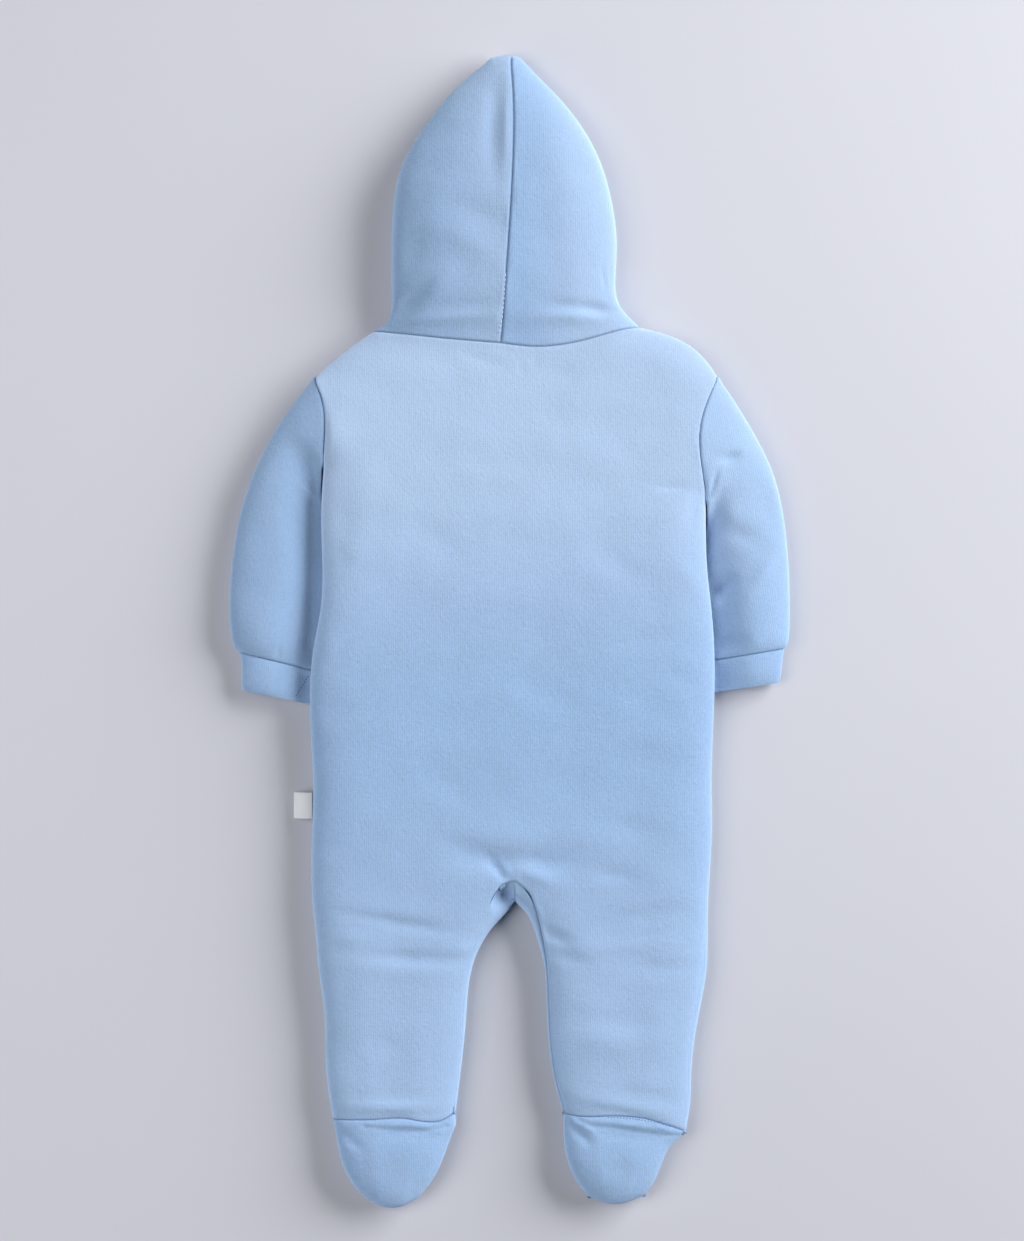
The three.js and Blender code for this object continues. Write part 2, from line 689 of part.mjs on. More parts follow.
// The back: one piece from the neck to both ankles, with the arch of the crotch cut into it
function backPanel() {
  const points = [];
  const add = (point) => points.push(placed(point, 1)) - 1;
  const left = halfRows("left", false);
  const right = halfRows("right", false);
  const rows = left.map((row, r) => {
    const leftIds = row.map(add);
    const rightIds = right[r].slice(0, -1).map(add);
    return [...leftIds, ...rightIds.reverse()];
  });
  const faces = [];
  const legRows = { left: [], right: [] };
  const count = left[0].length;
  const lastRow = rows[rows.length - 1];
  legRows.left.push(lastRow.slice(0, count));
  legRows.right.push(lastRow.slice(count - 1).reverse());
  const archTop = add({ x: CROTCH.x, y: INSEAM_TOP.y });
  for (const y of [...CROTCH_LEVELS, ...LEG_LEVELS, "ankle"]) {
    for (const side of ["left", "right"]) {
      legRows[side].push(legRow(side, y, archTop, add));
    }
  }
  faces.push(...gridFaces(rows));
  faces.push(...gridFaces(legRows.left));
  faces.push(...gridFaces(legRows.right, true));
  return wall(points, faces, CLOTH);
}

// One row of the back across a leg, from the side seam to the inseam
function legRow(side, level, archTop, add) {
  const ankle = level === "ankle";
  const y0 = ankle ? ANKLE_INNER : level;
  const outerY = ankle ? FEET[side].ankle[0][1] : level;
  const outerX = read(SIDES, side, outerY);
  const innerX = read(INSEAM, side, y0);
  return linesAt(side, false, y0, outerX, innerX).map((x, i, all) => {
    const end = i === all.length - 1;
    if (end && level === INSEAM_TOP.y) return archTop;
    const y = ankle ? ankleLine(x) : level;
    const point = { x, y, edge: i === 0, shiftY: ankle ? GAP / 2 : 0 };
    if (end) seamShift(point, GAP / 2);
    return add(point);
  });
}

// Moves a point on the inseam a little to its own side
function seamShift(point, by) {
  const { gx, gy } = depthAt(point.x, point.y);
  point.shiftX = (point.shiftX ?? 0) + gx * by;
  point.shiftY = (point.shiftY ?? 0) + gy * by;
}

// A front: the under side of one half from the neck to the ankle. Along the crotch and the leg
// it rolls round the inner edge and up to the inseam.
function frontPanel(side) {
  const points = [];
  const flip = side === "left";
  const raise = (made, point) => {
    made.p.z += lapLift(side, point.x, point.y);
    return made;
  };
  const add = (point, up) => points.push(up ? placed(point, 1) : raise(placed(point, -1), point)) - 1;
  const rows = halfRows(side, true).map((row) => row.map((point) => add(point, false)));
  const wrapRows = [];
  for (const level of [...CROTCH_LEVELS, ...LEG_LEVELS, "ankle"]) {
    const ankle = level === "ankle";
    const y0 = ankle ? ANKLE_INNER : level;
    const outerX = read(SIDES, side, ankle ? FEET[side].ankle[0][1] : level);
    const inLeg = y0 <= CROTCH.y;
    const innerX = inLeg ? read(INNER, side, y0) : lapEdge(side, y0);
    const row = linesAt(side, true, y0, outerX, innerX).map((x, i, all) => {
      const rim = inLeg && i === all.length - 1;
      const y = ankle ? ankleLine(x) : level;
      const point = { x, y, edge: i === 0 || rim, shiftY: ankle ? GAP / 2 : 0 };
      if (rim && level === CROTCH.y) point.shiftX = ((side === "left" ? -1 : 1) * GAP) / 2;
      return add(point, false);
    });
    rows.push(row);
    if (inLeg) wrapRows.push([row[row.length - 1], ...wrapPoints(side, y0, ankle, add)]);
  }
  const faces = [...gridFaces(rows, flip), ...gridFaces(wrapRows, flip)];
  return wall(points, faces, CLOTH);
}

// The part of a front row that shows on the upper side, from the leg's edge to the inseam
function wrapPoints(side, y0, ankle, add) {
  const share = smooth((WRAP_END - y0) / (WRAP_END - CROTCH.y));
  const seamY = mix(y0, INSEAM_TOP.y - GAP, share);
  const sign = side === "left" ? -1 : 1;
  const top = y0 === CROTCH.y;
  const seam = { x: top ? CROTCH.x : read(INSEAM, side, seamY), y: seamY };
  const rim = { x: read(INNER, side, y0), y: y0 };
  return [0.3, 0.65, 1].map((t) => {
    const point = { x: mix(rim.x, seam.x, t), y: mix(rim.y, seam.y, t) };
    if (top) point.shiftX = (sign * GAP) / 2;
    if (ankle) point.shiftY = GAP / 2;
    if (t === 1) seamShift(point, -GAP / 2);
    return add(point, true);
  });
}

// A hood half: from the centre seam over the side fold and back under to the face opening
function hoodHalf(side) {
  const points = [];
  const sign = side === "left" ? -1 : 1;
  const add = (point, up) => points.push(placed(point, up ? 1 : -1)) - 1;
  const seamX = HOOD[0].seam;
  const [foldX, foldY] = SHOULDERS[side][0];
  const stations = NECK_STATIONS[side];
  const left = side === "left";
  const backXs = left ? stations.back.slice(1, -1) : [...stations.back.slice(1), seamX];
  const lapXs = left ? [] : stopLines(side, true, HOOD_LEVELS[0]).slice(0, 2);
  const frontXs = [...stations.front.slice(1), ...lapXs];
  const over = backXs.map((x) => (x - seamX) / (foldX - seamX)).reverse();
  const faceX = faceEdge(side, HOOD_LEVELS[0]);
  const under = frontXs.map((x) => (x - faceX) / (foldX - faceX));
  if (side === "right") under.push(0);
  const rows = HOOD_LEVELS.map((level, r) => {
    const edgeX = r === 0 ? foldX : read(HOOD, side, level);
    const share = Math.min(1, (level - HOOD_LEVELS[0]) / (NECK_EASE - HOOD_LEVELS[0]));
    const yAt = (x, front) => (share < 1 ? mix(topLine(x, front), NECK_EASE, share) : level);
    const middleX = read(HOOD, "seam", level);
    const openX = faceEdge(side, level);
    const shiftY = r === 0 ? GAP / 2 : 0;
    const upper = over.map((t, i) => {
      const x = mix(middleX, edgeX, t);
      return add({ x, y: yAt(x, false), shiftX: i === 0 ? (sign * GAP) / 2 : 0, shiftY }, true);
    });
    const fold = points.push(foldPoint(edgeX, r === 0 ? foldY : level, shiftY)) - 1;
    const lower = under.map((t, i) => {
      const x = mix(openX, edgeX, t);
      const shiftX = i === under.length - 1 ? (sign * GAP) / 2 : 0;
      return add({ x, y: yAt(x, true), shiftX, shiftY }, false);
    });
    return [...upper, fold, ...lower];
  });
  rows.push(tipRow(side, over, under, points));
  return wall(points, gridFaces(rows, side === "right"), CLOTH);
}

// A point of the side fold itself, at the height of the outermost edge
function foldPoint(x, y, shiftY) {
  const made = lay(x, y, 1, true);
  made.p.y += shiftY;
  made.p.z -= GAP / 2;
  return made;
}

// The last row of a hood half, where its two layers meet in the tip
function tipRow(side, over, underSteps, points) {
  const at = curve(HOOD_TIP);
  const end = side === "left" ? 0 : 1;
  const start = TIP.seam + (side === "left" ? -TIP.apart : TIP.apart);
  const put = (t, layer) => {
    const p = at(mix(start, end, t));
    return points.push(layPoint(p, layer)) - 1;
  };
  return [...over.map((t) => put(t, 1)), put(1, 0), ...underSteps.map((t) => put(t, -1))];
}

function layPoint(p, layer) {
  const made = lay(p.x, p.y, 1, true);
  made.p.z += (layer - 1) * (GAP / 2) + layer * TIP.layers;
  return made;
}

// Half the face opening at a height, closed above it
function faceEdge(side, y) {
  const t = (y - FACE.middle) / FACE.halfLength;
  const open = Math.abs(t) < 1 ? FACE.halfWidth * Math.sqrt(1 - t * t) : 0;
  const sign = side === "left" ? -1 : 1;
  return read(HOOD, "seam", y) + sign * open;
}

// A foot's sole (up) or upper (down), inside the ankle seam, both sides and the toe.
// Its grid lines across meet those of the leg at the ankle seam.
function footPanel(side, up) {
  const shape = FEET[side];
  const outerX = shape.ankle[0][0];
  const innerX = shape.inner[0][0];
  const legInner = up ? read(INSEAM, side, ANKLE_INNER) : read(INNER, side, ANKLE_INNER);
  const xs = legLines(outerX, legInner);
  if (up) xs.push(innerX);
  const lines = {
    ankle: (u) => ({ x: mix(outerX, innerX, u), y: ankleLine(mix(outerX, innerX, u)) }),
    toe: curve(shape.toe),
    outer: curve(shape.outer),
    inner: curve(shape.inner),
  };
  const across = xs.map((x) => (x - outerX) / (innerX - outerX));
  const points = [];
  const rows = FOOT_STEPS.map((v) =>
    across.map((u, i) => {
      const p = inside(lines, u, v);
      const edge = i === 0 || i === across.length - 1 || v === 1;
      const shiftY = v === 0 ? -GAP / 2 : 0;
      return points.push(placed({ x: p.x, y: p.y, edge, shiftY }, up ? 1 : -1)) - 1;
    }),
  );
  const flip = (side === "right") === up;
  return wall(points, gridFaces(rows, flip), CLOTH);
}

// A point of a four-sided patch from its four curves
function inside(lines, u, v) {
  const [a, t] = [lines.ankle(u), lines.toe(u)];
  const [o, i] = [lines.outer(v), lines.inner(v)];
  const corners = [lines.outer(0), lines.inner(0), lines.outer(1), lines.inner(1)];
  const sum = (key) =>
    mix(a[key], t[key], v) +
    mix(o[key], i[key], u) -
    mix(mix(corners[0][key], corners[1][key], u), mix(corners[2][key], corners[3][key], u), v);
  return { x: sum("x"), y: sum("y") };
}

// A flattened tube between an inner and an outer edge, for a sleeve or a cuff.
// Its inner part is pressed flat where the body lies on it.
function tubePoint(row, u, upper) {
  const width = Math.hypot(row.ox - row.ix, row.oy - row.iy);
  const in1 = u * width;
  const out1 = (1 - u) * width;
  const x = mix(row.ix, row.ox, u);
  const y = mix(row.iy, row.oy, u);
  if (!upper) {
    const z1 = row.inner * (1 - dome(in1 / SLEEVE.flapRound));
    const z2 = row.edge * (1 - dome(out1 / SLEEVE.under));
    return new THREE.Vector3(x, y, Math.max(z1, z2));
  }
  const flat = row.inner * (1 + dome(in1 / SLEEVE.flapRound));
  const risen = flat + (row.crown - 2 * row.inner) * smooth((in1 - SLEEVE.flap) / SLEEVE.rise);
  const outer = row.edge + (row.crown - row.edge) * dome(out1 / SLEEVE.round);
  const ease = smooth(in1 / FOLD_EASE.sleeve) * smooth(out1 / FOLD_EASE.sleeve);
  const fold = foldDepth(SLEEVE_FOLDS, x, y) * ease;
  return new THREE.Vector3(x, y, Math.min(risen, outer) - fold);
}

// Ring of a tube row: over from the inner edge to the outer one, and back under
function ringParameters() {
  const over = TUBE_STEPS.map((u) => ({ u, upper: true }));
  const back = TUBE_STEPS.slice(1, -1).reverse().map((u) => ({ u, upper: false }));
  return [...over, ...back];
}

// The outward direction of a tube at a point, from its neighbours round and along
function tubeNormal(rows, r, c) {
  const count = rows[r].length;
  const round = rows[r][(c + 1) % count].clone().sub(rows[r][(c + count - 1) % count]);
  const next = rows[Math.min(rows.length - 1, r + 1)][c];
  const along = next.clone().sub(rows[Math.max(0, r - 1)][c]);
  return round.cross(along).normalize();
}

function tubeWall(rows, normals, side, thickness) {
  const points = [];
  const sign = side === "left" ? 1 : -1;
  const ids = rows.map((row, r) =>
    row.map((p, c) => {
      const n = normals?.[r]?.[c] ?? tubeNormal(rows, r, c).multiplyScalar(sign);
      return points.push({ p, n }) - 1;
    }),
  );
  return wall(points, gridFaces(ids, side === "left", true), thickness);
}

// A sleeve: its first ring follows the armhole, on top of the body's edge and below it
function sleeve(side) {
  const sign = side === "left" ? -1 : 1;
  const ring = ringParameters();
  const armhole = ring.map(({ u, upper }) => {
    const y = mix(ARMPIT[side], SIDES[0].y, u);
    const x = read(SIDES, side, y);
    const end = u === 0 || u === 1;
    const made = lay(x, y, upper ? 1 : -1, end);
    if (end) made.p.z -= GAP / 2;
    made.p.x += (sign * GAP) / 2;
    if (1 - u < SHOULDER_END) made.p.y -= GAP;
    return { ...made, u };
  });
  const rows = SLEEVES[side].map((row, r) => {
    if (r === 0) return armhole.map(({ p }) => p);
    const share = smooth(r / SLEEVE.armholeBlend);
    return ring.map(({ u, upper }, c) => {
      const p = tubePoint(row, u, upper);
      p.z = mix(armhole[c].p.z, p.z, share);
      return p;
    });
  });
  rows[rows.length - 1].forEach((p) => (p.y += GAP / 2));
  const normals = [armhole.map(({ n, u }) => (u > 0 ? n : undefined))];
  return tubeWall(rows, normals, side, CLOTH);
}

function cuff(side) {
  const ring = ringParameters();
  const rows = CUFFS[side].map((row) => ring.map(({ u, upper }) => tubePoint(row, u, upper)));
  rows[0].forEach((p) => (p.y -= GAP / 2));
  return tubeWall(rows, undefined, side, CUFF_CLOTH);
}

// The label: a strip from the side seam outwards, drooping towards the floor
function label() {
  const seam = read(SIDES, "left", LABEL.y) - GAP;
  const top = read(FULLNESS, "seam", LABEL.y) + LABEL_CLOTH / 2;
  const points = [];
  const rows = [0, 1].map((end) => {
    const y = LABEL.y + (0.5 - end) * LABEL.length;
    return Array.from({ length: LABEL.steps + 1 }, (_, i) => {
      const t = i / LABEL.steps;
      const p = new THREE.Vector3(seam - LABEL.reach * t, y, top - LABEL.drop * t * t);
      const n = new THREE.Vector3(-2 * LABEL.drop * t, 0, LABEL.reach).normalize();
      return points.push({ p, n }) - 1;
    });
  });
  return wall(points, gridFaces(rows, true), LABEL_CLOTH);
}

// A press stud's cap, under the lap
function stud() {
  const profile = [
    [0, 0],
    [STUD.faceRadius, 0],
    [STUD.radius, STUD.bevel],
    [STUD.radius, STUD.height],
    [0, STUD.height],
  ].map(([x, y]) => new THREE.Vector2(x, y));
  return new THREE.LatheGeometry(profile, STUD.sides).rotateX(Math.PI / 2);
}

const group = new THREE.Group();

function addPiece(name, geometry, color, roughness = 0.95, metalness = 0) {
  const material = new THREE.MeshStandardMaterial({ color, roughness, metalness });
  material.side = THREE.DoubleSide;
  const mesh = new THREE.Mesh(geometry, material);
  mesh.name = name;
  group.add(mesh);
  return mesh;
}

addPiece("back", backPanel(), BLUE);
for (const side of ["left", "right"]) {
  addPiece(`front_${side}`, frontPanel(side), BLUE);
  addPiece(`sleeve_${side}`, sleeve(side), BLUE);
  addPiece(`cuff_${side}`, cuff(side), BLUE);
  addPiece(`hood_${side}`, hoodHalf(side), BLUE);
  addPiece(`sole_${side}`, footPanel(side, true), BLUE);
  addPiece(`foot_upper_${side}`, footPanel(side, false), BLUE);
}
addPiece("side_label", label(), WHITE);
for (let i = 0; i < STUD.count; i++) {
  const mesh = addPiece(`press_stud_${i + 1}`, stud(), METAL, 0.3, 0.9);
  mesh.position.set(LAP.edge + STUD.across, STUD.first - i * STUD.pitch, 0);
}

export default group;
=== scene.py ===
# %% [markdown]
# A hooded baby sleepsuit, laid face down
#
# The real garment is sewn from a thick, brushed cotton knit. The solids of the frame hold its
# form: one wall of cloth for each cut piece. This script dresses each wall. It takes the outer
# side of a wall, smooths it, presses the seams and creases into it and gives it its thickness
# again. Everything is in metres, in the frame of the solids; the tables below are in
# millimetres, because that is how a maker measures cloth.

# %% Load the frame and measure it
import bpy
import json
import math
from mathutils import Matrix, Vector, kdtree, noise

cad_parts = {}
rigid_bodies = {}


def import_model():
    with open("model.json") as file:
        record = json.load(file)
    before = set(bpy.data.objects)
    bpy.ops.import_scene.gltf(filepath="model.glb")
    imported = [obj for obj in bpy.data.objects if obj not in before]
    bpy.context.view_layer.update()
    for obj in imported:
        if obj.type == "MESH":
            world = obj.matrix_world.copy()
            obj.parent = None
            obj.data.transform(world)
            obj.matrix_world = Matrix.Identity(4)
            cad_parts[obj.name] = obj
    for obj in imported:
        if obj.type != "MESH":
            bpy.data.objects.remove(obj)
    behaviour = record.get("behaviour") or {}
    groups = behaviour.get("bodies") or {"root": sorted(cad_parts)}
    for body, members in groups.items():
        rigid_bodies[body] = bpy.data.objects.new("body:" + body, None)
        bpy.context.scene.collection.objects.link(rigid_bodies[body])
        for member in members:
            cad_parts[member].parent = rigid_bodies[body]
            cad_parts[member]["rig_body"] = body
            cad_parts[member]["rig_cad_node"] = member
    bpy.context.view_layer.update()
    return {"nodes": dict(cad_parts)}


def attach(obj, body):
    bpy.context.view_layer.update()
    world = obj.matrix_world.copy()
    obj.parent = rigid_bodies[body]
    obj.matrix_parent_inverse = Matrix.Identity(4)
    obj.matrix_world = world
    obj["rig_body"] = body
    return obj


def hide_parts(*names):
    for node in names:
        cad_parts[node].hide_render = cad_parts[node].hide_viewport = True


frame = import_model()
MM = 0.001

# %% [markdown]
# The camera
#
# The photograph is taken straight from above. A long lens from two metres up keeps the garment's
# outline true, and the frame is as wide as the photograph's at the height of the side seams.

# %% Place the camera
PHOTO_PX = (1024, 1241)
PX_MM = 0.65
SEAM_HEIGHT = 0.010
CAMERA_UP = 2.2
VIEW_CENTRE = (0.0016, 0.0068)

bpy.ops.object.camera_add(location=(VIEW_CENTRE[0], VIEW_CENTRE[1], SEAM_HEIGHT + CAMERA_UP))
camera = bpy.context.object
camera.name = "camera"
camera.data.sensor_fit = "VERTICAL"
camera.data.sensor_height = 36.0
camera.data.lens = camera.data.sensor_height * CAMERA_UP / (PHOTO_PX[1] * PX_MM * MM)
camera.data.clip_end = 20
bpy.context.scene.camera = camera
print("camera lens", round(camera.data.lens, 1), "mm")

# %% [markdown]
# The floor and the light
#
# The garment lies on a smooth pale board. A wide soft light stands low at the right and a little
# towards the hood, so every fold gets a bright right side and the garment casts a soft shadow to the
# left. Two weaker lights, low and high at the left, open the shadows.

# %% Lay the floor
bpy.ops.mesh.primitive_plane_add(size=6, location=(0, 0, -0.0003))
floor = bpy.context.object
floor.name = "floor"


def new_material(name):
    """A material with only its surface shader and its output."""
    material = bpy.data.materials.new(name)
    material.use_nodes = True
    return material, material.node_tree.nodes, material.node_tree.links


def node(nodes, kind, **values):
    """One shader node, with its settings and its unlinked inputs."""
    made = nodes.new(kind)
    for key, value in values.items():
        if key in made.bl_rna.properties and key != "inputs":
            setattr(made, key, value)
        else:
            made.inputs[key.replace("_", " ")].default_value = value
    return made


board, nodes, links = new_material("pale board")
surface = nodes["Principled BSDF"]
surface.inputs["Roughness"].default_value = 0.75
surface.inputs["Specular IOR Level"].default_value = 0.2
place = node(nodes, "ShaderNodeTexCoord")
mottle = node(nodes, "ShaderNodeTexNoise", Scale=3.0, Detail=4.0)
tint = node(nodes, "ShaderNodeValToRGB")
tint.color_ramp.elements[0].color = (0.644, 0.628, 0.650, 1)
tint.color_ramp.elements[1].color = (0.681, 0.664, 0.687, 1)
links.new(place.outputs["Object"], mottle.inputs["Vector"])
links.new(mottle.outputs["Fac"], tint.inputs["Fac"])
links.new(tint.outputs["Color"], surface.inputs["Base Color"])
floor.data.materials.append(board)
print("floor laid")

# %% Set the lights
LAMP_COLOUR = (0.955, 0.995, 1.06)


def soft_light(name, turn, lift, away, wide, tall, power):
    """A cool area light that looks at the garment from a direction, in degrees, and a distance."""
    turn, lift = math.radians(turn), math.radians(lift)
    place = Vector((math.cos(turn) * math.cos(lift), math.sin(turn) * math.cos(lift), math.sin(lift))) * away
    bpy.ops.object.light_add(type="AREA", location=place)
    lamp = bpy.context.object
    lamp.name = name
    lamp.rotation_euler = (-place).to_track_quat("-Z", "Y").to_euler()
    lamp.data.shape = "RECTANGLE"
    lamp.data.size = wide
    lamp.data.size_y = tall
    lamp.data.energy = power
    lamp.data.color = LAMP_COLOUR
    return lamp


soft_light("key_light", 25, 22, 2.6, 2.6, 1.5, 126)
soft_light("left_fill", 205, 18, 2.6, 1.8, 1.6, 16)
soft_light("top_fill", 180, 55, 2.6, 1.8, 1.8, 32)
world = bpy.data.worlds.new("studio")
world.use_nodes = True
world.node_tree.nodes["Background"].inputs["Color"].default_value = (0.9, 0.94, 1.0, 1)
world.node_tree.nodes["Background"].inputs["Strength"].default_value = 0.02
bpy.context.scene.world = world
bpy.context.scene.view_settings.view_transform = "Standard"

# %% [markdown]
# Taking the outer side of a wall
#
# A cut piece of cloth is a sheet, and its solid is that sheet with a thickness. A copy of the
# solid is merged, its triangles are joined to four-sided faces, and the faces that run on
# smoothly from the highest (or lowest) one are kept: they are the outer side. The seam edges
# bend sharply there, so the selection stops at them.

# %% Helpers for selecting and copying
# How far, in degrees, one face may bend from the next: on most pieces, where a front or the hood rolls
# up from the floor to its seam, and round a sleeve
PLAIN_BEND = 30
ROLLED_BEND = 36
SLEEVE_BEND = 52


def alone(piece):
    """Makes a piece the only selected and the active one."""
    bpy.ops.object.select_all(action="DESELECT")
    piece.select_set(True)
    bpy.context.view_layer.objects.active = piece


def copy_of(node_name, name):
    """A copy of a solid of the frame, free of the frame's marks, with its doubles merged."""
    alone(frame["nodes"][node_name])
    bpy.ops.object.duplicate()
    piece = bpy.context.object
    piece.name = name
    piece.data.name = name
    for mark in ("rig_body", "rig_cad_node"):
        del piece[mark]
    bpy.ops.object.parent_clear(type="CLEAR_KEEP_TRANSFORM")
    piece.data.materials.clear()
    bpy.ops.mesh.customdata_custom_splitnormals_clear()
    bpy.ops.object.mode_set(mode="EDIT")
    bpy.ops.mesh.select_all(action="SELECT")
    bpy.ops.mesh.remove_doubles(threshold=2e-5)
    bpy.ops.mesh.tris_convert_to_quads(face_threshold=math.pi, shape_threshold=math.pi)
    bpy.ops.object.mode_set(mode="OBJECT")
    return piece


def keep_outer_side(piece, from_top, bend=PLAIN_BEND, cut_face=None):
    """Keeps the faces that run on smoothly from the highest or the lowest face, except cut faces."""
    faces = piece.data.polygons
    way = 1 if from_top else -1
    first = max(faces, key=lambda f: way * f.center.z + 0.02 * way * f.normal.z)
    for part in (piece.data.vertices, piece.data.edges, faces):
        part.foreach_set("select", [False] * len(part))
    first.select = True
    bpy.ops.object.mode_set(mode="EDIT")
    bpy.ops.mesh.select_mode(type="FACE")
    bpy.ops.mesh.faces_select_linked_flat(sharpness=math.radians(bend))
    bpy.ops.mesh.select_all(action="INVERT")
    bpy.ops.mesh.delete(type="FACE")
    bpy.ops.object.mode_set(mode="OBJECT")
    if cut_face:
        for face in piece.data.polygons:
            face.select = cut_face(face)
        bpy.ops.object.mode_set(mode="EDIT")
        bpy.ops.mesh.delete(type="FACE")
        bpy.ops.object.mode_set(mode="OBJECT")
    return len(piece.data.polygons)


def use(piece, kind, **settings):
    """Adds a modifier and applies it."""
    alone(piece)
    modifier = piece.modifiers.new(kind, kind)
    for key, value in settings.items():
        setattr(modifier, key, value)
    bpy.ops.object.modifier_apply(modifier=modifier.name)


def outer_sheet(node_name, name, from_top, levels, passes, bend=PLAIN_BEND, cut_face=None):
    """The smooth outer side of a solid, with small faces along its seams."""
    piece = copy_of(node_name, name)
    before = len(piece.data.polygons)
    kept = keep_outer_side(piece, from_top, bend, cut_face)
    clear_edge(piece, EDGE_CLEAR)
    use(piece, "SUBSURF", levels=levels, render_levels=levels, boundary_smooth="PRESERVE_CORNERS")
    for reach, size in passes:
        refine(piece, reach, size)
    print(name, "keeps", kept, "of", before, "faces, now", len(piece.data.polygons))
    return piece


# %% Helpers for the edges of a sheet
# Faces within a reach of a seam that are longer than a size are halved, both in millimetres
SEEN_SEAMS = ((3.2, 1.7), (1.7, 1.0))
HIDDEN_SEAMS = ((2.4, 1.7),)
# How far the inner points stay from an open edge, in millimetres
EDGE_CLEAR = 1.8


def free_edges(piece):
    """The open edges of a sheet, each with the face it belongs to."""
    owners = {}
    for polygon in piece.data.polygons:
        for edge in polygon.edge_keys:
            owners.setdefault(edge, []).append(polygon)
    return [(edge, faces[0]) for edge, faces in owners.items() if len(faces) == 1]


def tree_of(points):
    tree = kdtree.KDTree(len(points))
    for i, point in enumerate(points):
        tree.insert(point, i)
    tree.balance()
    return tree


def edge_tree(piece, skip=None):
    """The open edges of a sheet, as points about half a millimetre apart."""
    points = []
    for (a, b), _ in free_edges(piece):
        p, q = piece.data.vertices[a].co, piece.data.vertices[b].co
        if skip and skip((p + q) / 2):
            continue
        steps = max(1, int((q - p).length / (0.6 * MM)))
        points += [p.lerp(q, i / steps) for i in range(steps + 1)]
    return tree_of(points)


def clear_edge(piece, by):
    """Moves the inner points that lie very near an open edge away from it, to a distance in millimetres."""
    tree = edge_tree(piece)
    on_edge = {i for edge, _ in free_edges(piece) for i in edge}
    for vertex in piece.data.vertices:
        spot, _, far = tree.find(vertex.co)
        if vertex.index not in on_edge and far < by * MM:
            vertex.co += (vertex.co - spot).normalized() * (by * MM - far)


def refine(piece, reach, size):
    """Halves the faces near the sheet's edges that are longer than a size, in millimetres."""
    tree = edge_tree(piece)
    vertices = piece.data.vertices
    for part in (vertices, piece.data.edges, piece.data.polygons):
        part.foreach_set("select", [False] * len(part))
    for polygon in piece.data.polygons:
        long = max((vertices[a].co - vertices[b].co).length for a, b in polygon.edge_keys)
        if long > size * MM and tree.find(polygon.center)[2] < reach * MM:
            polygon.select = True
    alone(piece)
    bpy.ops.object.mode_set(mode="EDIT")
    bpy.ops.mesh.select_mode(type="FACE")
    bpy.ops.mesh.subdivide(number_cuts=1)
    bpy.ops.object.mode_set(mode="OBJECT")


# %% [markdown]
# Creases and seams
#
# Thick knit doesn't crease sharply. It lies in long, soft troughs and ridges, so each crease is
# a line with a length, a width and a depth, and the cloth near it moves down or up. A seam
# pulls the edge in and leaves a low roll beside it. Both are vertex moves in code: sculpting
# by hand gives the same form, but a table can be read and changed. The deepest part of a seam
# lies in shade, so each point also keeps how near a seam it is, and the knit paints that shade in.

# %% Helpers for pressing creases and seams


def soft_step(t):
    t = min(1.0, max(0.0, t))
    return t * t * (3 - 2 * t)


def crease_depth(creases, x, y):
    """How far the creases of a table move a point, in millimetres, at a plan point in millimetres."""
    total = 0.0
    for cx, cy, turn, reach, width, deep in creases:
        c, s = math.cos(math.radians(turn)), math.sin(math.radians(turn))
        along = (x - cx) * c + (y - cy) * s
        across = (y - cy) * c - (x - cx) * s
        if abs(along) < reach and abs(across) < 3 * width:
            total += deep * soft_step(1 - abs(along) / reach) * math.exp(-(across / width) ** 2)
    return total


def line_depth(lines, x, y):
    """The same for narrow grooves along lines of points: points, half width, depth."""
    total = 0.0
    for points, width, deep in lines:
        near = min(beside(p, q, x, y) for p, q in zip(points, points[1:]))
        total += deep * math.exp(-(near / width) ** 2)
    return total


def beside(p, q, x, y):
    """How far a plan point is from the line between two others."""
    dx, dy = q[0] - p[0], q[1] - p[1]
    along = ((x - p[0]) * dx + (y - p[1]) * dy) / (dx * dx + dy * dy)
    along = min(1.0, max(0.0, along))
    return math.hypot(x - p[0] - along * dx, y - p[1] - along * dy)


SEAM = {"depth": 0.8, "width": 0.75, "roll": 0.06, "roll_at": 3.2, "roll_width": 1.8}
# In millimetres: the half width of a seam's line of painted shade, how far from a seam the creases start,
# how far a seam is looked for, and how low a crease may go
SEAM_PAINTED_SHADE_MM = 0.55
SMOOTH_IN = 5.0
SEAM_SIGHT = 15.0
LOWEST_FOLD = 5.0
FOLD_PLAY = 0.6


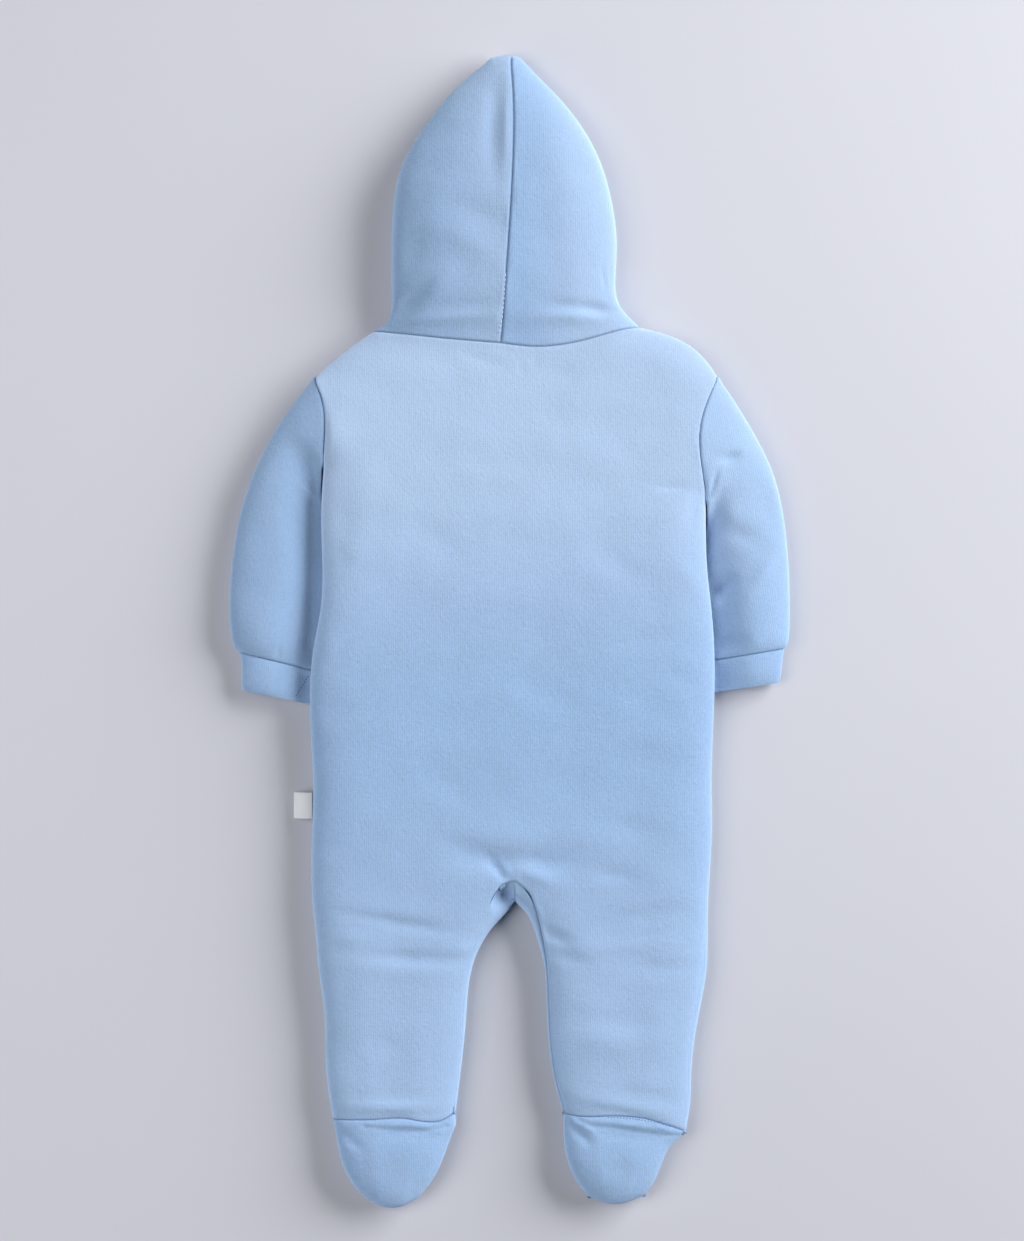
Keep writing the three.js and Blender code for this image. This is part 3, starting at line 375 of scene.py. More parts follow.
def press(piece, creases=(), lines=(), hollows=(), skip=None, wave=0.35, way=1, seam=SEAM):
    """Presses the creases into the side that looks up (way 1) or down (way -1), and the seams in."""
    tree = edge_tree(piece, skip)
    moves, shade = [], []
    for vertex in piece.data.vertices:
        p, n = vertex.co, vertex.normal
        x, y = p.x / MM, p.y / MM
        near = tree.find(p)[2] / MM
        # Painted seam shade: how much the shade in the seam's valley darkens this point
        shade.append(math.exp(-(near / SEAM_PAINTED_SHADE_MM) ** 2))
        ripple = noise.noise(Vector((x / 46, y / 21, way * 3.1))) * wave
        ripple += noise.noise(Vector((x / 17, y / 13, 7.3))) * wave * 0.35
        down = (crease_depth(creases, x, y) + ripple) * soft_step(near / SMOOTH_IN)
        down = (down + line_depth(lines, x, y)) * max(0.0, n.z * way)
        into = 0.0
        if near < SEAM_SIGHT:
            into = seam["depth"] * math.exp(-(near / seam["width"]) ** 2)
            into -= seam["roll"] * math.exp(-((near - seam["roll_at"]) / seam["roll_width"]) ** 2)
        sunk = sum(deep * soft_step(1 - math.hypot(x - hx, y - hy) / size) for hx, hy, size, deep in hollows)
        sunk *= max(0.0, n.z) * soft_step(near / 2.5)
        moves.append(Vector((0, 0, (-down * way - sunk) * MM)) - n * into * MM)
    for vertex, move in zip(piece.data.vertices, moves):
        floor_z = min(vertex.co.z, LOWEST_FOLD * MM) if way > 0 else 0.0
        vertex.co += move
        vertex.co.z = max(vertex.co.z, floor_z - FOLD_PLAY * MM * (way > 0), 0.0)
    # Each point keeps its share of painted seam shade, for the knit to read
    piece.data.attributes.new("painted_seam_shade", "FLOAT", "POINT").data.foreach_set("value", shade)
    piece.data.update()


def thicken(piece, millimetres):
    """Gives a sheet its thickness, inwards from the outer side, and smooths its shading."""
    use(piece, "SOLIDIFY", thickness=millimetres * MM, offset=-1, use_rim=True)
    for vertex in piece.data.vertices:
        vertex.co.z = max(0.0, vertex.co.z)
    alone(piece)
    bpy.ops.object.shade_smooth_by_angle(angle=math.radians(60))


# %% [markdown]
# The knit
#
# The cloth is a single jersey knit, brushed on the outside: fine upright ribs of stitches, about
# two to every three millimetres, half hidden under a short soft pile. The ribs and the rows across
# them are two wave textures that show in patches. The pile is a fine noise, and a noise drawn out
# along the ribs gives the slight heather of the yarn. The pile catches light at grazing angles,
# which the shader's sheen gives. Light and shade are also painted into the colour. Each piece's yarn
# is scaled darker or lighter: painted shade on the hood's left and the left sleeve, painted light on
# the right sleeve. The knit is also painted paler where more light falls: on the upper back, the
# hood's middle and right, the right sleeve and a little on the legs. Last, painted shade darkens the
# knit along its seams, by the share that each point keeps.

# %% Make the cloth materials
RIB_MM = 1.45
ROW_MM = 1.2
WAVE_PERIOD = 2 * math.pi / 20
DEEP_YARN = (0.402, 0.558, 0.762)
LIGHT_YARN = (0.476, 0.648, 0.856)
# Painted light: the pale colour that the knit turns towards where more light falls
PAINTED_LIGHT_COLOUR = (0.74, 0.83, 0.94)
# Painted shade for the seams' valleys, multiplied in by each point's share
SEAM_PAINTED_SHADE = (0.56, 0.62, 0.70)
# Each: the axis along which painted light makes the knit paler, and where that starts and ends, in metres
PAINTED_LIGHT_PARTS = {"upper": ("Y", -0.05, 0.12), "lower": ("Y", -0.08, -0.24),
              "middle": ("X", -0.055, -0.004), "right": ("X", 0.002, 0.05)}


def knit(name, turn=0.0, centre=(0, 0), shade=1.0, **painted_light):
    """Brushed light blue knit, its ribs turned by some degrees, its yarn scaled by painted shade or light,
    and painted paler by a share where more light falls.
    """
    material, nodes, links = new_material(name)
    surface = nodes["Principled BSDF"]
    surface.inputs["Roughness"].default_value = 0.92
    surface.inputs["Diffuse Roughness"].default_value = 1.0
    surface.inputs["Specular IOR Level"].default_value = 0.1
    surface.inputs["Sheen Weight"].default_value = 0.06
    surface.inputs["Sheen Roughness"].default_value = 0.4
    surface.inputs["Sheen Tint"].default_value = (0.78, 0.88, 1.0, 1)
    place = node(nodes, "ShaderNodeTexCoord")
    turned = node(nodes, "ShaderNodeMapping", vector_type="TEXTURE")
    turned.inputs["Location"].default_value = (centre[0] * MM, centre[1] * MM, 0)
    turned.inputs["Rotation"].default_value = (0, 0, math.radians(turn))
    links.new(place.outputs["Object"], turned.inputs["Vector"])

    def stretched(x, y, z, detail, roughness):
        """A noise whose grains are x, y and z millimetres long."""
        scale = node(nodes, "ShaderNodeMapping")
        scale.inputs["Scale"].default_value = (1 / (x * MM), 1 / (y * MM), 1 / (z * MM))
        links.new(turned.outputs["Vector"], scale.inputs["Vector"])
        grain = node(nodes, "ShaderNodeTexNoise", Scale=1.0, Detail=detail, Roughness=roughness)
        links.new(scale.outputs["Vector"], grain.inputs["Vector"])
        return grain.outputs["Fac"]

    def maths(operation, a, b, c=0.0):
        made = node(nodes, "ShaderNodeMath", operation=operation)
        for socket, value in zip(made.inputs, (a, b, c)):
            if isinstance(value, float):
                socket.default_value = value
            else:
                links.new(value, socket)
        return made.outputs[0]

    def spread(value, low, high):
        made = node(nodes, "ShaderNodeMapRange", To_Min=low, To_Max=high)
        links.new(value, made.inputs["Value"])
        return made.outputs["Result"]

    rib = node(nodes, "ShaderNodeTexWave", wave_type="BANDS", bands_direction="X",
               Scale=WAVE_PERIOD / (RIB_MM * MM), Distortion=2.2, Detail=3.0, Detail_Scale=2.0)
    row = node(nodes, "ShaderNodeTexWave", wave_type="BANDS", bands_direction="Y",
               Scale=WAVE_PERIOD / (ROW_MM * MM), Distortion=2.6, Detail=3.0, Detail_Scale=1.6)
    for texture in (rib, row):
        links.new(turned.outputs["Vector"], texture.inputs["Vector"])
    bare = stretched(5.0, 9.0, 6.0, 2.0, 0.5)
    ribs = maths("MULTIPLY", rib.outputs["Fac"], bare)
    rows = maths("MULTIPLY", row.outputs["Fac"], maths("SUBTRACT", 1.0, bare))
    pile = stretched(0.7, 0.7, 0.7, 3.0, 0.7)
    tufts = stretched(2.2, 2.8, 2.4, 3.0, 0.65)
    height = maths("MULTIPLY_ADD", rows, 0.25, maths("MULTIPLY", ribs, 0.75))
    height = maths("MULTIPLY_ADD", pile, 1.5, height)
    height = maths("MULTIPLY_ADD", tufts, 2.6, height)
    bump = node(nodes, "ShaderNodeBump", Strength=0.65, Distance=0.0002)
    links.new(height, bump.inputs["Height"])
    links.new(bump.outputs["Normal"], surface.inputs["Normal"])

    heather = maths("MULTIPLY_ADD", stretched(1.1, 2.4, 1.6, 4.0, 0.8), 0.55,
                    maths("MULTIPLY", stretched(7.0, 1.3, 3.0, 4.0, 0.8), 0.45))
    yarn = node(nodes, "ShaderNodeValToRGB")
    yarn.color_ramp.elements[0].position = 0.36
    yarn.color_ramp.elements[1].position = 0.64
    # The shade scales the yarn: below 1 it is painted shade, above 1 it is painted light
    yarn.color_ramp.elements[0].color = [part * shade for part in DEEP_YARN] + [1]
    yarn.color_ramp.elements[1].color = [part * shade for part in LIGHT_YARN] + [1]
    links.new(heather, yarn.inputs["Fac"])
    patch = spread(stretched(110, 90, 100, 3.0, 0.5), 0.955, 1.045)
    both = maths("MULTIPLY", patch, spread(ribs, 0.975, 1.045))
    tone = node(nodes, "ShaderNodeMix", data_type="RGBA", blend_type="MULTIPLY")
    tone.inputs["Factor"].default_value = 1.0
    links.new(yarn.outputs["Color"], tone.inputs["A"])
    links.new(both, tone.inputs["B"])
    where = node(nodes, "ShaderNodeSeparateXYZ")
    links.new(place.outputs["Object"], where.inputs["Vector"])
    painted_light_share = 0.0
    # Painted light: the knit is mixed towards the pale colour along each given axis
    for part, share in painted_light.items():
        axis, low, high = PAINTED_LIGHT_PARTS[part]
        rise = node(nodes, "ShaderNodeMapRange", interpolation_type="SMOOTHSTEP",
                    From_Min=low, From_Max=high, To_Min=0.0, To_Max=share)
        links.new(where.outputs[axis], rise.inputs["Value"])
        painted_light_share = maths("ADD", rise.outputs["Result"], painted_light_share)
    pale = node(nodes, "ShaderNodeMix", data_type="RGBA")
    pale.inputs["Factor"].default_value = 0.0
    if painted_light:
        links.new(painted_light_share, pale.inputs["Factor"])
    links.new(tone.outputs["Result"], pale.inputs["A"])
    pale.inputs["B"].default_value = PAINTED_LIGHT_COLOUR + (1,)
    # Painted seam shade: the knit is darkened near its seams
    painted_shade_node = node(nodes, "ShaderNodeAttribute", attribute_name="painted_seam_shade")
    painted_seam_shade_mix = node(nodes, "ShaderNodeMix", data_type="RGBA", blend_type="MULTIPLY")
    links.new(painted_shade_node.outputs["Fac"], painted_seam_shade_mix.inputs["Factor"])
    links.new(pale.outputs["Result"], painted_seam_shade_mix.inputs["A"])
    painted_seam_shade_mix.inputs["B"].default_value = SEAM_PAINTED_SHADE + (1,)
    links.new(painted_seam_shade_mix.outputs["Result"], surface.inputs["Base Color"])
    return material


# Lit and shaded copies of one knit: a shade below 1 is painted shade, and a shade above 1 and the pale
# shares are painted light
KNIT = {
    "body": knit("brushed knit", upper=0.42, lower=0.15),
    "hood_left": knit("brushed knit in painted shade, left of the hood", shade=0.92, middle=0.2),
    "hood_right": knit("brushed knit in painted light, right of the hood", shade=1.01, right=0.29),
    "sleeve_left": knit("brushed knit in painted shade, left sleeve", turn=-9, centre=(-150, 60), shade=0.93),
    "sleeve_right": knit("brushed knit in painted light, right sleeve", turn=9, centre=(150, 60), shade=1.05, upper=0.25),
    "foot": knit("brushed knit, feet"),
    "cuff": knit("cuff knit", shade=1.01),
}
print("materials:", ", ".join(KNIT))


def finish_cloth(piece, node_name, material):
    """Fits a finished piece of cloth into the frame and says what it was cut from."""
    piece.data.materials.append(material)
    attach(piece, "root")
    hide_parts(node_name)
    low, high = piece.bound_box[0], piece.bound_box[6]
    print(piece.name, "box mm", [round(v / MM) for v in low], [round(v / MM) for v in high],
          "triangles", sum(len(p.vertices) - 2 for p in piece.data.polygons))


# %% [markdown]
# The back
#
# The back is one piece from the neck to the ankles. Its surface lies in faint waves across the
# body, a pinched fold over the crotch, and a few folds across the thighs where the legs bend.

# %% Make the back
# Each crease: centre x, y, direction in degrees, half length, half width, depth (a ridge is less than 0)
BACK_CREASES = [
    # below the neck
    (-16, 175, -16, 24, 3, 0.6), (7.5, 170, 60, 5, 1.6, 0.8), (17, 174, 80, 6, 1.3, 0.5),
    (22, 175, 80, 6, 1.3, -0.4), (34, 167, -12, 18, 4, 0.4),
    # beside the armholes
    (-113, 124, 85, 28, 12, -1.5), (-107, 72, 80, 20, 8, 0.9), (-109, 46, 25, 15, 2.6, 1.1),
    (-104, 51, 25, 16, 4, -0.6), (105, 93, 2, 17, 2.6, 0.9), (119, 78, 78, 18, 4, 1.3),
    (116, 34, -50, 25, 5, -1.1), (77, 38, -35, 40, 8, 1.4), (-45, 59, -25, 26, 8, 0.9),
    # waves across the body
    (94, -5, 0, 40, 5, 1.1), (106, -18, -10, 34, 5, -1.0), (112, -32, -28, 24, 4, 1.2),
    (26, -43, -22, 44, 7, 1.2), (66, -46, -28, 30, 7, -0.9), (-118, -13, 50, 14, 6, -1.1),
    (-115, -52, 5, 18, 6, 1.0), (-78, -60, 8, 28, 7, -0.9), (-39, -101, -28, 30, 6, 1.0),
    (-8, -84, -20, 34, 7, -0.6), (90, -84, -8, 46, 8, 1.1), (30, -100, 4, 40, 7, 0.8),
    (78, -127, 0, 28, 5, 0.9), (-95, -110, 10, 24, 7, 0.7), (-80, 10, 14, 44, 8, 0.9),
    # the seat and the crotch
    (10, -134, 2, 78, 10, -1.9), (2, -149, -3, 60, 6, 2.0), (-27, -141, -16, 38, 6, 1.5),
    (-8, -154, -52, 15, 2.8, 2.6), (15, -157, -22, 22, 5, -1.8), (68, -158, -5, 22, 5, 1.0),
    # the left leg
    (-71, -189, -10, 54, 4, 1.5), (-97, -199, 0, 26, 5, -1.0), (-64, -212, -3, 46, 3.2, 2.2),
    (-29, -206, 12, 15, 3, -1.3), (-66, -220, -2, 46, 5, -1.1), (-74, -269, 0, 24, 5, 0.9),
    (-60, -246, 6, 30, 6, 0.7), (-78, -302, 1, 40, 3.4, 1.0), (-76, -308.5, 1, 46, 3.4, -2.0),
    # the right leg
    (88, -184, 8, 40, 7, 1.7), (75, -204, 4, 42, 5, -1.3), (97, -218, 5, 26, 3.5, 1.2),
    (39, -212, -15, 22, 3.5, 1.3), (30, -198, -25, 15, 4, 1.8), (70, -253, -3, 46, 6, 1.7),
    (62, -266, -8, 30, 6, -0.9), (92, -301, -10, 32, 3, 1.1), (75, -307.5, -10.5, 50, 3.4, -1.8),
]
# The side seam shows as a line beside the rim of the right leg
BACK_LINES = [
    ([(127.4, -192), (126.4, -206), (125.2, -222), (121.4, -240), (117.6, -262), (116, -284), (115.6, -306)],
     0.8, 0.55),
]


def left_inseam(p):
    """The inside of the left leg, where the seam is turned under and doesn't show."""
    return -0.036 < p.x < -0.003 and -0.31 < p.y < -0.166


back = outer_sheet("back", "back_cloth", True, 2, SEEN_SEAMS)
press(back, BACK_CREASES, BACK_LINES, wave=0.85, skip=left_inseam)

# %% [markdown]
# The fronts
#
# Both fronts lie flat on the floor. Their outer side looks down and rolls up at the sides and round the
# inside of each leg, where the selection has to follow a sharper bend. The free edges of the lap aren't
# seams, so they aren't pressed in.

# %% Make the fronts


def lap_edge(p):
    return -0.004 < p.x < 0.032 and p.y > -0.175


def lap_or_inseam(p):
    return lap_edge(p) or left_inseam(p)


# Each hollow: x, y, radius and depth
front_left = outer_sheet("front_left", "front_left_cloth", False, 2, SEEN_SEAMS, ROLLED_BEND)
press(front_left, hollows=[(-3, -172, 14, 9)], skip=lap_or_inseam, wave=0.2, way=-1)
front_right = outer_sheet("front_right", "front_right_cloth", False, 2, SEEN_SEAMS, ROLLED_BEND)
press(front_right, skip=lap_edge, wave=0.2, way=-1)

# %% [markdown]
# The hood
#
# Two halves meet in a seam down the middle and bend round to the face opening. The hood is fuller than
# the neck, so its cloth bulges over the neck seam and folds in from both neck corners.

# %% Make the hood
HOOD_CREASES = {
    "left": [
        (-10.5, 325, 88, 44, 5.5, 1.9), (-2.5, 322, 89, 48, 2.6, -0.8), (-63, 214, 39, 25, 5, 2.8),
        (-47, 227, 38, 28, 7, -1.0), (-38, 202, 4, 54, 4, -1.7), (-30, 211, 6, 32, 4, 1.0),
        (-63, 247, 80, 32, 9, 1.2), (-29, 252, -27, 34, 8, -1.1), (-19, 268, -25, 32, 8, 1.1),
        (-50, 300, 60, 30, 9, 0.7),
    ],
    "right": [
        (42, 203, 2, 48, 4, -1.6), (46, 209, -6, 36, 4, 2.2), (57, 207, -8, 15, 4, 1.4),
        (61, 228, 100, 11, 1.6, 1.0), (65.3, 230, 95, 9, 1.4, 0.9), (24, 250, -70, 40, 10, 0.6),
        (38, 290, -50, 36, 10, -0.5),
    ],
}
HOOD_SEAM = {"depth": 1.0, "width": 0.8, "roll": 0.06, "roll_at": 3.6, "roll_width": 2.0}


def face_edge(p):
    """The free edge of the face opening, and the tip, where both layers meet."""
    return (p.z < 0.006 and abs(p.x) < 0.028 and p.y > 0.168) or p.y > 0.3715


for side in ("left", "right"):
    hood = outer_sheet("hood_" + side, "hood_" + side + "_cloth", True, 3, SEEN_SEAMS, ROLLED_BEND)
    press(hood, HOOD_CREASES[side], skip=face_edge, wave=0.6, seam=HOOD_SEAM)

# %% [markdown]
# The sleeves and cuffs
#
# Each sleeve bends down from the shoulder and is tucked a little under the body. It hollows along
# the body's edge. At the armhole the small faces of the cloth's cut edge run on smoothly from the
# top, so they are told apart by where they are and which way they look. The cuffs are plain bands.

# %% Make the sleeves and cuffs
SLEEVE_CREASES = {
    "left": [
        (-132, 107, -56, 27, 7, 2.6), (-131, 91.6, -37, 15, 3, -1.6), (-133, 64, -76, 36, 10, 3.4),
        (-129, 20, -84, 48, 9, 3.8), (-150, -14, 78, 9, 1.4, 0.8), (-160, 96, 62, 40, 9, -0.5),
        (-128, -12, -80, 18, 6, 1.6),
    ],
    "right": [
        (142, 112, 22, 11, 3.2, 2.2), (147, 118, 22, 16, 4, -0.9), (132.5, 96, 75, 14, 1.8, 1.2),
        (150, 62, -20, 20, 6, 1.3), (138, 28, 35, 16, 5, 3.2), (134, 18, 45, 16, 4, -0.9),
        (166, 40, 56, 28, 4, -1.1), (144, -8, 10, 16, 5, 1.8), (165, 84, -70, 30, 7, 0.7),
    ],
}
CUFF_CREASES = {
    "left": [(-131, -36, 86, 20, 6, 2.6), (-152, -44, 12, 26, 5, 0.8)],
    "right": [(150, -39, 10, 42, 8, 2.2), (136, -30, 80, 16, 6, 0.8)],
}
ARMPITS = {"left": (1, 113), "right": (-1, 91)}


def armhole_face(side):
    """Tells the faces of the cut edge at one armhole: towards the body, above the armpit, small."""
    way, armpit = ARMPITS[side]
    return lambda face: (face.normal.x * way > 0.6 and face.center.y > armpit * MM
                         and face.area < 40 * MM * MM)


for side in ("left", "right"):
    sleeve = outer_sheet("sleeve_" + side, "sleeve_" + side + "_cloth", True, 3, SEEN_SEAMS, SLEEVE_BEND,
                         armhole_face(side))
    press(sleeve, SLEEVE_CREASES[side], wave=0.5)


def cuff_end(p):
    return p.y < -0.030


for side in ("left", "right"):
    cuff = outer_sheet("cuff_" + side, "cuff_" + side + "_cloth", True, 3, SEEN_SEAMS)
    press(cuff, CUFF_CREASES[side], skip=cuff_end, wave=0.25)

# %% [markdown]
# The feet
#
# A sole and an upper meet round the edge of each foot. Below the ankle seam the sole's cloth is
# rolled over by the seam allowance under it.

# %% Make the feet
SOLE_CREASES = {
    "left": [(-66, -319.5, -1, 34, 2.8, -0.8), (-68, -326, 0, 38, 3.6, 0.7), (-102, -331, -35, 15, 3.6, 1.1),
             (-74, -350, 20, 26, 8, 0.7)],
    "right": [(80, -320, -4, 40, 3, -0.8), (84, -328, -6, 40, 3.8, 0.7), (45.5, -326, -43, 14, 2.6, 1.5),
              (52, -323, -40, 12, 2.4, -0.8), (107.6, -331, 45, 10, 2.5, 0.8), (70, -348, -15, 26, 8, 0.7)],
}
# The lower edge of the band over the seam allowance, and the sole's own seam at the right foot
SOLE_LINES = {
    "left": [([(-94, -321.4), (-74, -323.2), (-55, -324), (-41, -321.4)], 1.9, 0.8)],
    "right": [([(44, -316.6), (52, -320.5), (65, -321.1), (78, -323.1), (95, -326.3), (112, -327.6)],
               1.9, 0.9),
              ([(37, -316), (36.6, -324), (37, -334)], 0.7, 0.5)],
}
for side in ("left", "right"):
    sole = outer_sheet("sole_" + side, "sole_" + side + "_cloth", True, 3, SEEN_SEAMS)
    press(sole, SOLE_CREASES[side], SOLE_LINES[side], wave=0.5)
    upper = outer_sheet("foot_upper_" + side, "foot_upper_" + side + "_cloth", False, 3, HIDDEN_SEAMS)
    press(upper, wave=0.2, way=-1)

# %% [markdown]
# Drawing the seams together
#
# So far every sheet ends where its solid does, 0.3 mm from the next one. Thread holds the real edges
# together, so along each seam both edges move to the middle between them and the cloth behind them
# follows, less and less. Then every sheet gets its thickness and its knit.

# %% Draw the seams together
SEAM_GAP = 0.08
SEAM_REACH = 1.0
SLEEVE_REACH = 2.0
HOOD_TIP = 0.3705
SEAM_PULL = 7.0
SEAMS = [("back", "front_left"), ("back", "front_right"), ("back", "hood_left"), ("back", "hood_right"),
         ("hood_left", "hood_right"), ("front_left", "hood_left"), ("front_right", "hood_right")]
for side in ("left", "right"):
    SEAMS += [("back", "sleeve_" + side), ("front_" + side, "sleeve_" + side),
              ("sleeve_" + side, "cuff_" + side),
              ("back", "sole_" + side), ("front_" + side, "foot_upper_" + side),
              ("sole_" + side, "foot_upper_" + side)]


def way_to(piece, other, reach):
    """How each open-edge point of a sheet moves to meet the other sheet's edge."""
    tree = edge_tree(other)
    moves = {}
    for edge, _ in free_edges(piece):
        for i in edge:
            here = piece.data.vertices[i].co
            there, _, far = tree.find(here)
            if 0 < far < reach * MM and here.y < HOOD_TIP:
                moves[i] = (there - here) * max(0.0, 0.5 - SEAM_GAP * MM / 2 / far)
    return moves


def pull(piece, moves):
    """Moves the edge of a sheet, and the cloth behind it less and less."""
    points = list(moves)
    tree = tree_of([piece.data.vertices[i].co.copy() for i in points])
    shifts = []
    for vertex in piece.data.vertices:
        _, k, far = tree.find(vertex.co)
        shifts.append(moves[points[k]] * soft_step(1 - far / (SEAM_PULL * MM)))
    for vertex, shift in zip(piece.data.vertices, shifts):
        vertex.co += shift
    piece.data.update()


for first, second in SEAMS:
    first, second = bpy.data.objects[first + "_cloth"], bpy.data.objects[second + "_cloth"]
    reach = SLEEVE_REACH if second.name.startswith(("sleeve", "cuff")) else SEAM_REACH
    first_moves, second_moves = way_to(first, second, reach), way_to(second, first, reach)
    if first_moves and second_moves:
        pull(first, first_moves)
        pull(second, second_moves)
    print(first.name, "and", second.name, "meet at", len(first_moves), "points")

# %% Give the sheets their thickness and knit
# Each: node, thickness in mm, knit, flat width and length of the cut that shows, in metres, and its area
# in square metres
CLOTH = [
    ("back", 2.2, "body", (0.30, 0.56), 0.125),
    ("front_left", 2.2, "body", (0.18, 0.55), 0.071),
    ("front_right", 2.2, "body", (0.18, 0.55), 0.063),
    ("hood_left", 2.2, "hood_left", (0.16, 0.22), 0.025),
    ("hood_right", 2.2, "hood_right", (0.16, 0.22), 0.022),
    ("sleeve_left", 2.2, "sleeve_left", (0.14, 0.19), 0.020),
    ("sleeve_right", 2.2, "sleeve_right", (0.14, 0.19), 0.0183),
    ("cuff_left", 2.8, "cuff", (0.11, 0.027), 0.0027),
    ("cuff_right", 2.8, "cuff", (0.11, 0.027), 0.0027),
    ("sole_left", 2.2, "foot", (0.085, 0.065), 0.0041),
    ("sole_right", 2.2, "foot", (0.085, 0.065), 0.0041),
    ("foot_upper_left", 2.2, "foot", (0.085, 0.065), 0.0043),
    ("foot_upper_right", 2.2, "foot", (0.085, 0.065), 0.0043),
]
for node_name, thickness, yarn, flat, area in CLOTH:
    cloth = bpy.data.objects[node_name + "_cloth"]
    thicken(cloth, thickness)
    finish_cloth(cloth, node_name, KNIT[yarn])

# %% [markdown]
# The thread that shows
#
# Most seams hide their thread. It shows in three places: the lower part of the hood's seam, the outer
# half of the right ankle seam, and the slanting join of the left cuff. One stitch is modelled, a small
# rounded bar that sinks into the cloth at both ends, and copied along each line. The hood's thread is
# pale. The other two are painted dark blue, as painted shadow for the stitch holes deep in the seam.

# %% Sew the visible stitches


def thread(name, deep, light):
    """Twisted cotton thread, between two shades."""
    material, nodes, links = new_material(name)
    surface = nodes["Principled BSDF"]
    surface.inputs["Roughness"].default_value = 0.6
    surface.inputs["Sheen Weight"].default_value = 0.2
    place = node(nodes, "ShaderNodeTexCoord")
    twist = node(nodes, "ShaderNodeTexNoise", Scale=2600.0, Detail=2.0)
    shine = node(nodes, "ShaderNodeValToRGB")
    shine.color_ramp.elements[0].color = deep + (1,)
    shine.color_ramp.elements[1].color = light + (1,)
    links.new(place.outputs["Object"], twist.inputs["Vector"])
    links.new(twist.outputs["Fac"], shine.inputs["Fac"])
    links.new(shine.outputs["Color"], surface.inputs["Base Color"])
    return material


# How far a stitch's ends dip and taper, and how high it lies, as shares of its thickness
END_DIP = 0.75
END_TAPER = 0.35
LIE_UP = 0.22
PALE_THREAD = thread("pale thread", (0.52, 0.66, 0.84), (0.72, 0.82, 0.94))
# Painted shadow: the ankle and cuff stitches are coloured dark for the shade in their seam holes
SHADOW_DARK_THREAD = thread("thread painted dark as seam shadow", (0.10, 0.18, 0.32), (0.16, 0.27, 0.45))


def stitch_bar(length, thick):
    """One stitch along X, in millimetres, its ends drawn down into the cloth."""
    bpy.ops.mesh.primitive_cylinder_add(vertices=6, radius=thick / 2 * MM, depth=length * MM,
                                        rotation=(0, math.pi / 2, 0))
    bar = bpy.context.object
    bpy.ops.object.transform_apply(rotation=True)
    bpy.ops.object.mode_set(mode="EDIT")
    for cut in (-0.3, 0.0, 0.3):
        bpy.ops.mesh.select_all(action="SELECT")
        bpy.ops.mesh.bisect(plane_co=(cut * length * MM, 0, 0), plane_no=(1, 0, 0))
    bpy.ops.object.mode_set(mode="OBJECT")
    for vertex in bar.data.vertices:
        share = abs(vertex.co.x) / (length / 2 * MM)
        vertex.co.z -= thick * END_DIP * share ** 3 * MM
        vertex.co.y *= 1 - END_TAPER * share ** 3
    bpy.ops.object.shade_smooth()
    return bar


def sew(name, cloth, points, length, pitch, thick, yarn):
    """Copies a stitch along a line of plan points, on top of a piece of cloth."""
    bar = stitch_bar(length, thick)
    made = []
    line = [Vector((x * MM, y * MM, 0)) for x, y in points]
    ends = [0.0]
    for p, q in zip(line, line[1:]):
        ends.append(ends[-1] + (q - p).length / MM)
    for i in range(int(ends[-1] / pitch)):
        at = (i + 0.5) * pitch
        step = max(k for k in range(len(line) - 1) if ends[k] <= at)
        p, q = line[step], line[step + 1]
        spot = p.lerp(q, (at - ends[step]) / (ends[step + 1] - ends[step]))
        hit, ground, normal, _ = cloth.ray_cast(Vector((spot.x, spot.y, 0.1)), Vector((0, 0, -1)))
        if not hit:
            continue
        alone(bar)
        bpy.ops.object.duplicate()
        copy = bpy.context.object
        along = (q - p).normalized()
        side = normal.cross(along).normalized()
        lie = Matrix((side.cross(normal), side, normal)).transposed().to_4x4()
        copy.data.transform(Matrix.Translation(ground + normal * thick * LIE_UP * MM) @ lie)
        made.append(copy)
    alone(made[0])
    for copy in made:
        copy.select_set(True)
    bpy.ops.object.join()
    seam = bpy.context.object
    seam.name = seam.data.name = name
    bpy.data.objects.remove(bar)
    seam.data.materials.append(yarn)
    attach(seam, "root")
    print(name, len(made), "stitches")
    return seam


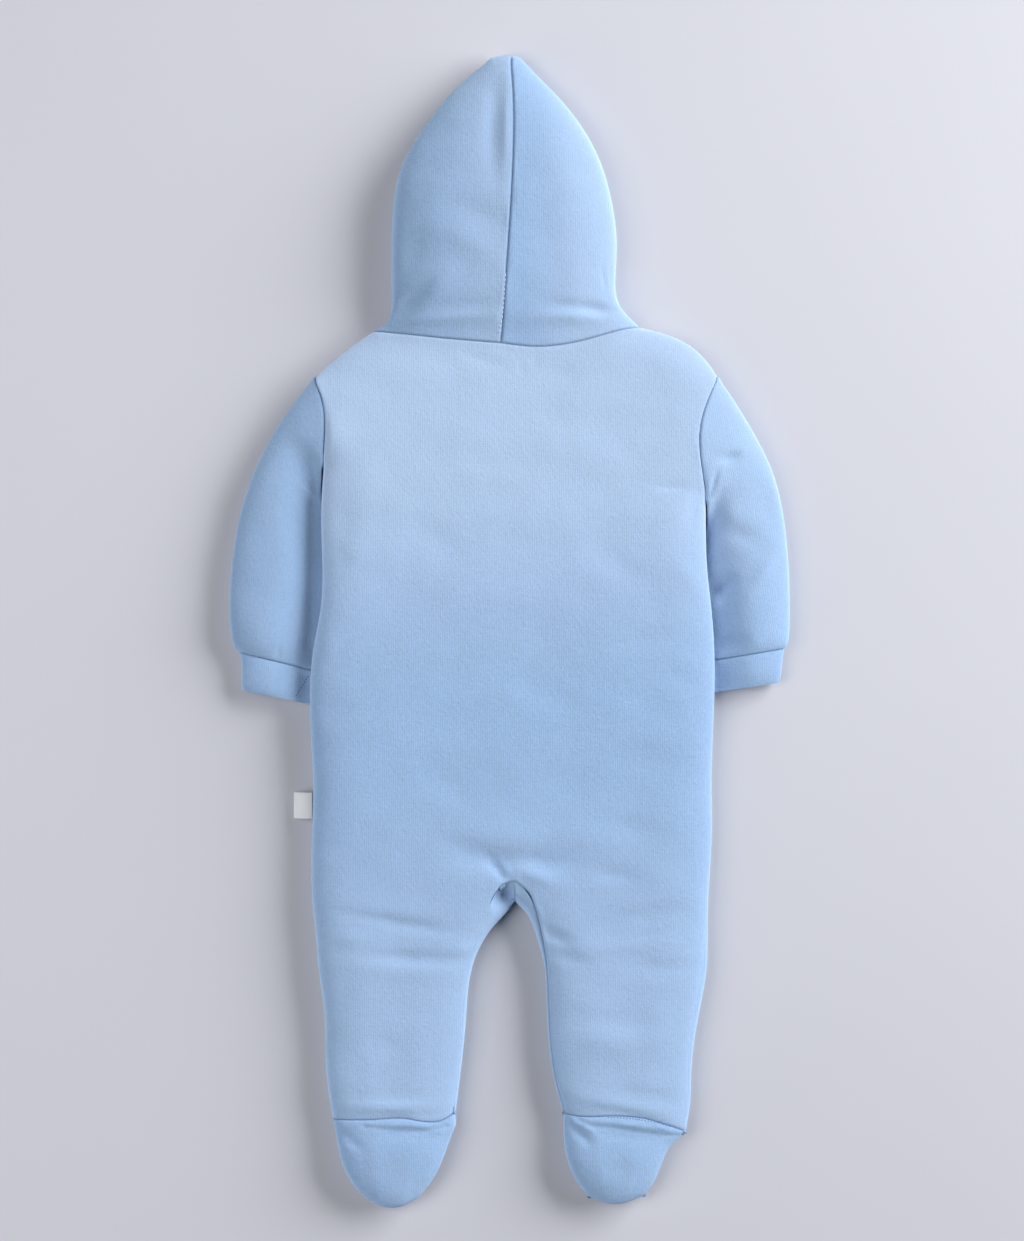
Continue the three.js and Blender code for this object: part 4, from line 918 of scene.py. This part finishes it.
HOOD_THREAD = [(-2.6, 231), (-3.3, 221), (-4.0, 211), (-5.0, 202), (-6.6, 192)]
ANKLE_THREAD = [(63, -314.9), (76, -315.4), (88, -316.8), (97, -319.0), (106, -322.0)]
CUFF_THREAD = [(-131.0, -29.0), (-134.0, -34.0), (-139.5, -43.0)]
for cloth_name, points, length, pitch, thick, yarn in (
        ("hood_left", HOOD_THREAD, 2.3, 3.0, 0.7, PALE_THREAD),
        ("sole_right", ANKLE_THREAD, 1.2, 2.0, 0.55, SHADOW_DARK_THREAD),
        ("cuff_left", CUFF_THREAD, 1.3, 2.0, 0.55, SHADOW_DARK_THREAD)):
    cloth = bpy.data.objects[cloth_name + "_cloth"]
    stitches = sew(cloth_name + "_thread", cloth, points, length, pitch, thick, yarn)

# %% [markdown]
# The side label and the press studs
#
# The label is a short white tape in the side seam, with a fine weave. Its print is left bare. The press
# studs keep the frame's solids and get a metal finish.

# %% Make the label and finish the studs
tape, nodes, links = new_material("white tape")
surface = nodes["Principled BSDF"]
surface.inputs["Roughness"].default_value = 0.6
surface.inputs["Base Color"].default_value = (0.86, 0.86, 0.85, 1)
place = node(nodes, "ShaderNodeTexCoord")
weft = node(nodes, "ShaderNodeTexWave", wave_type="BANDS", bands_direction="Y",
            Scale=WAVE_PERIOD / (0.5 * MM), Distortion=0.4, Detail=1.0)
links.new(place.outputs["Object"], weft.inputs["Vector"])
bump = node(nodes, "ShaderNodeBump", Strength=0.3, Distance=0.0001)
links.new(weft.outputs["Fac"], bump.inputs["Height"])
links.new(bump.outputs["Normal"], surface.inputs["Normal"])
label = copy_of("side_label", "side_label_tape")
use(label, "BEVEL", width=0.0003, segments=2, limit_method="ANGLE")
alone(label)
bpy.ops.object.shade_smooth_by_angle(angle=math.radians(40))
finish_cloth(label, "side_label", tape)

metal, nodes, links = new_material("stud metal")
surface = nodes["Principled BSDF"]
surface.inputs["Metallic"].default_value = 1.0
surface.inputs["Base Color"].default_value = (0.72, 0.73, 0.75, 1)
scuffs = node(nodes, "ShaderNodeTexNoise", Scale=900.0, Detail=4.0)
rough = node(nodes, "ShaderNodeMapRange", To_Min=0.22, To_Max=0.42)
links.new(scuffs.outputs["Fac"], rough.inputs["Value"])
links.new(rough.outputs["Result"], surface.inputs["Roughness"])
for i in range(1, 8):
    stud = frame["nodes"]["press_stud_%d" % i]
    stud.data.materials.clear()
    stud.data.materials.append(metal)
print("label and 7 studs finished")
